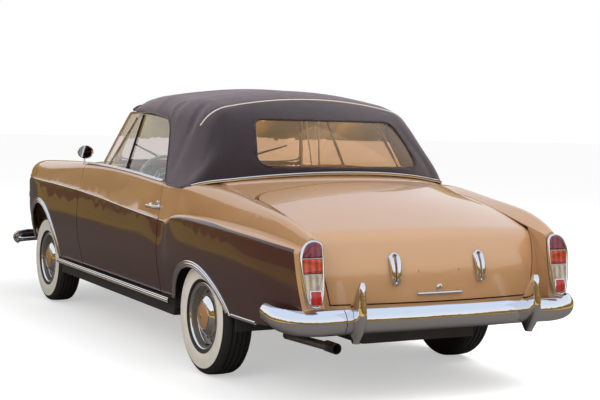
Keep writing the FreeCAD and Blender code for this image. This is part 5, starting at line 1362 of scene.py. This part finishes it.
for side, door, mirror in sides:
    skin = ("door_" + side.lower(),)
    spot, facing = onSkin(skin, (0.3 * mirror, *inside["restAt"]), (mirror, 0, 0))
    rest = slab(inside["rest"], spot - Vector((inside["restIn"] * mirror, 0, 0)), 0.014, 4)
    rest = piece("armrest" + side, rest, door, leather)
    for label, y, z, reach in inside["cranks"]:
        spot, facing = onSkin(skin, (0.3 * mirror, y, z), (mirror, 0, 0))
        fitting("door" + label + "Boss" + side, inside["boss"], spot, 28, (-mirror, 0, 0), door)
        start = spot + Vector((-0.012 * mirror, 0, 0))
        line = [start, start + Vector((-0.006 * mirror, reach * 0.6, -reach * 0.4)),
                start + Vector((-0.008 * mirror, reach, -reach * 0.6))]
        bead("door" + label + side, line, inside["crank"], door, chrome)
print("inside furnished")

# ---- stage: pale floor, soft lamps, and warm low surroundings that only reflections see
stage = {
    "floor": 60.0, "key": (-3.0, 3.0, 7.0), "keySize": 6.0, "keyPower": 430,
    "fill": (6.0, 6.0, 4.0), "fillSize": 4.0, "fillPower": 200, "aim": (0, 0, 0.6),
    "sky": (0.70, 0.81, 1.0, 1), "ground": (0.15, 0.135, 0.125), "verge": (4.5, 9.0),
    "grass": (0.62, 0.42, 0.12), "bank": (0.30, 0.10, 0.06), "treeTall": -0.23,
}


def makeFloor():
    shape = bmesh.new()
    bmesh.ops.create_grid(shape, x_segments=1, y_segments=1, size=stage["floor"])
    data = bpy.data.meshes.new("floor")
    shape.to_mesh(data)
    shape.free()
    obj = bpy.data.objects.new("floor", data)
    obj.location.z = -0.001
    scene.collection.objects.link(obj)
    finish = Finish("floorPaint", Roughness=0.9, Specular_IOR_Level=0.0)
    path = "ShaderNodeLightPath"
    away = finish.x.size() + finish.noise(0.6, 3) * 1.5
    ground = finish.mix(away.band(stage["verge"][0], stage["verge"][1], 0.8), stage["ground"], stage["grass"])
    ground = finish.mix(away.over(stage["verge"][1] + 1, 1.0), ground, stage["bank"])
    finish.feed("Base Color", finish.mix(finish.node(path, {}, {}, "Is Glossy Ray"), (0.8, 0.8, 0.8), ground))
    seen = finish.node(path, {}, {}, "Is Camera Ray") + finish.node(path, {}, {}, "Is Transmission Ray")
    finish.feed("Emission Color", finish.mix(seen, (0, 0, 0), (0.45, 0.45, 0.45)))
    finish.feed("Emission Strength", 1.0)
    data.materials.append(finish.material)


def makeLamp(name):
    spot = Vector(stage[name])
    data = bpy.data.lights.new(name, "AREA")
    data.shape = "RECTANGLE"
    data.size = data.size_y = stage[name + "Size"]
    data.energy = stage[name + "Power"]
    obj = bpy.data.objects.new(name, data)
    obj.location = spot
    obj.rotation_euler = (Vector(stage["aim"]) - spot).to_track_quat("-Z", "Y").to_euler()
    obj.visible_glossy = False
    scene.collection.objects.link(obj)


def makeWorld():
    world = bpy.data.worlds.new("world")
    scene.world = world
    world.use_nodes = True
    tree = world.node_tree

    def node(kind, settings, values, out=0):
        made = tree.nodes.new(kind)
        for key, value in settings.items():
            setattr(made, key, value)
        for key, value in values.items():
            if isinstance(value, bpy.types.NodeSocket):
                tree.links.new(value, made.inputs[key])
            else:
                made.inputs[key].default_value = value
        return made.outputs[out]

    def mixed(share, low, high):
        return node("ShaderNodeMix", {"data_type": "RGBA"}, {0: share, 6: low, 7: high}, 2)

    way = node("ShaderNodeTexCoord", {}, {}, "Generated")
    up = node("ShaderNodeSeparateXYZ", {}, {0: way}, 2)
    flat = node("ShaderNodeVectorMath", {"operation": "MULTIPLY"}, {0: way, 1: (1, 1, 0.35)})
    rough = node("ShaderNodeTexNoise", {}, {"Vector": flat, "Scale": 9.0, "Detail": 5.0}, "Fac")
    treeTop = node("ShaderNodeMath", {"operation": "MULTIPLY_ADD"}, {0: rough, 1: stage["treeTall"], 2: up})
    edge = node("ShaderNodeMapRange", {}, {"Value": treeTop, "From Min": 0.05, "From Max": 0.075})
    leaf = node("ShaderNodeTexNoise", {}, {"Vector": way, "Scale": 22.0, "Detail": 6.0}, "Fac")
    leafShare = node("ShaderNodeMapRange", {}, {"Value": leaf, "From Min": 0.35, "From Max": 0.65})
    low = mixed(leafShare, (0.07, 0.05, 0.015, 1), (0.42, 0.26, 0.07, 1))
    high = node("ShaderNodeMapRange", {}, {"Value": up, "From Min": 0.08, "From Max": 0.6})
    sky = mixed(high, (1.0, 0.97, 0.92, 1), stage["sky"])
    around = mixed(edge, low, sky)
    glossy = node("ShaderNodeLightPath", {}, {}, "Is Glossy Ray")
    tree.links.new(mixed(glossy, (1, 1, 1, 1), around), tree.nodes["Background"].inputs["Color"])
    diffuse = node("ShaderNodeLightPath", {}, {}, "Is Diffuse Ray")
    level = node("ShaderNodeMapRange", {}, {"Value": diffuse, "To Min": 1.0, "To Max": 0.62})
    tree.links.new(level, tree.nodes["Background"].inputs["Strength"])


makeFloor()
makeWorld()
makeLamp("key")
makeLamp("fill")
print("stage set")
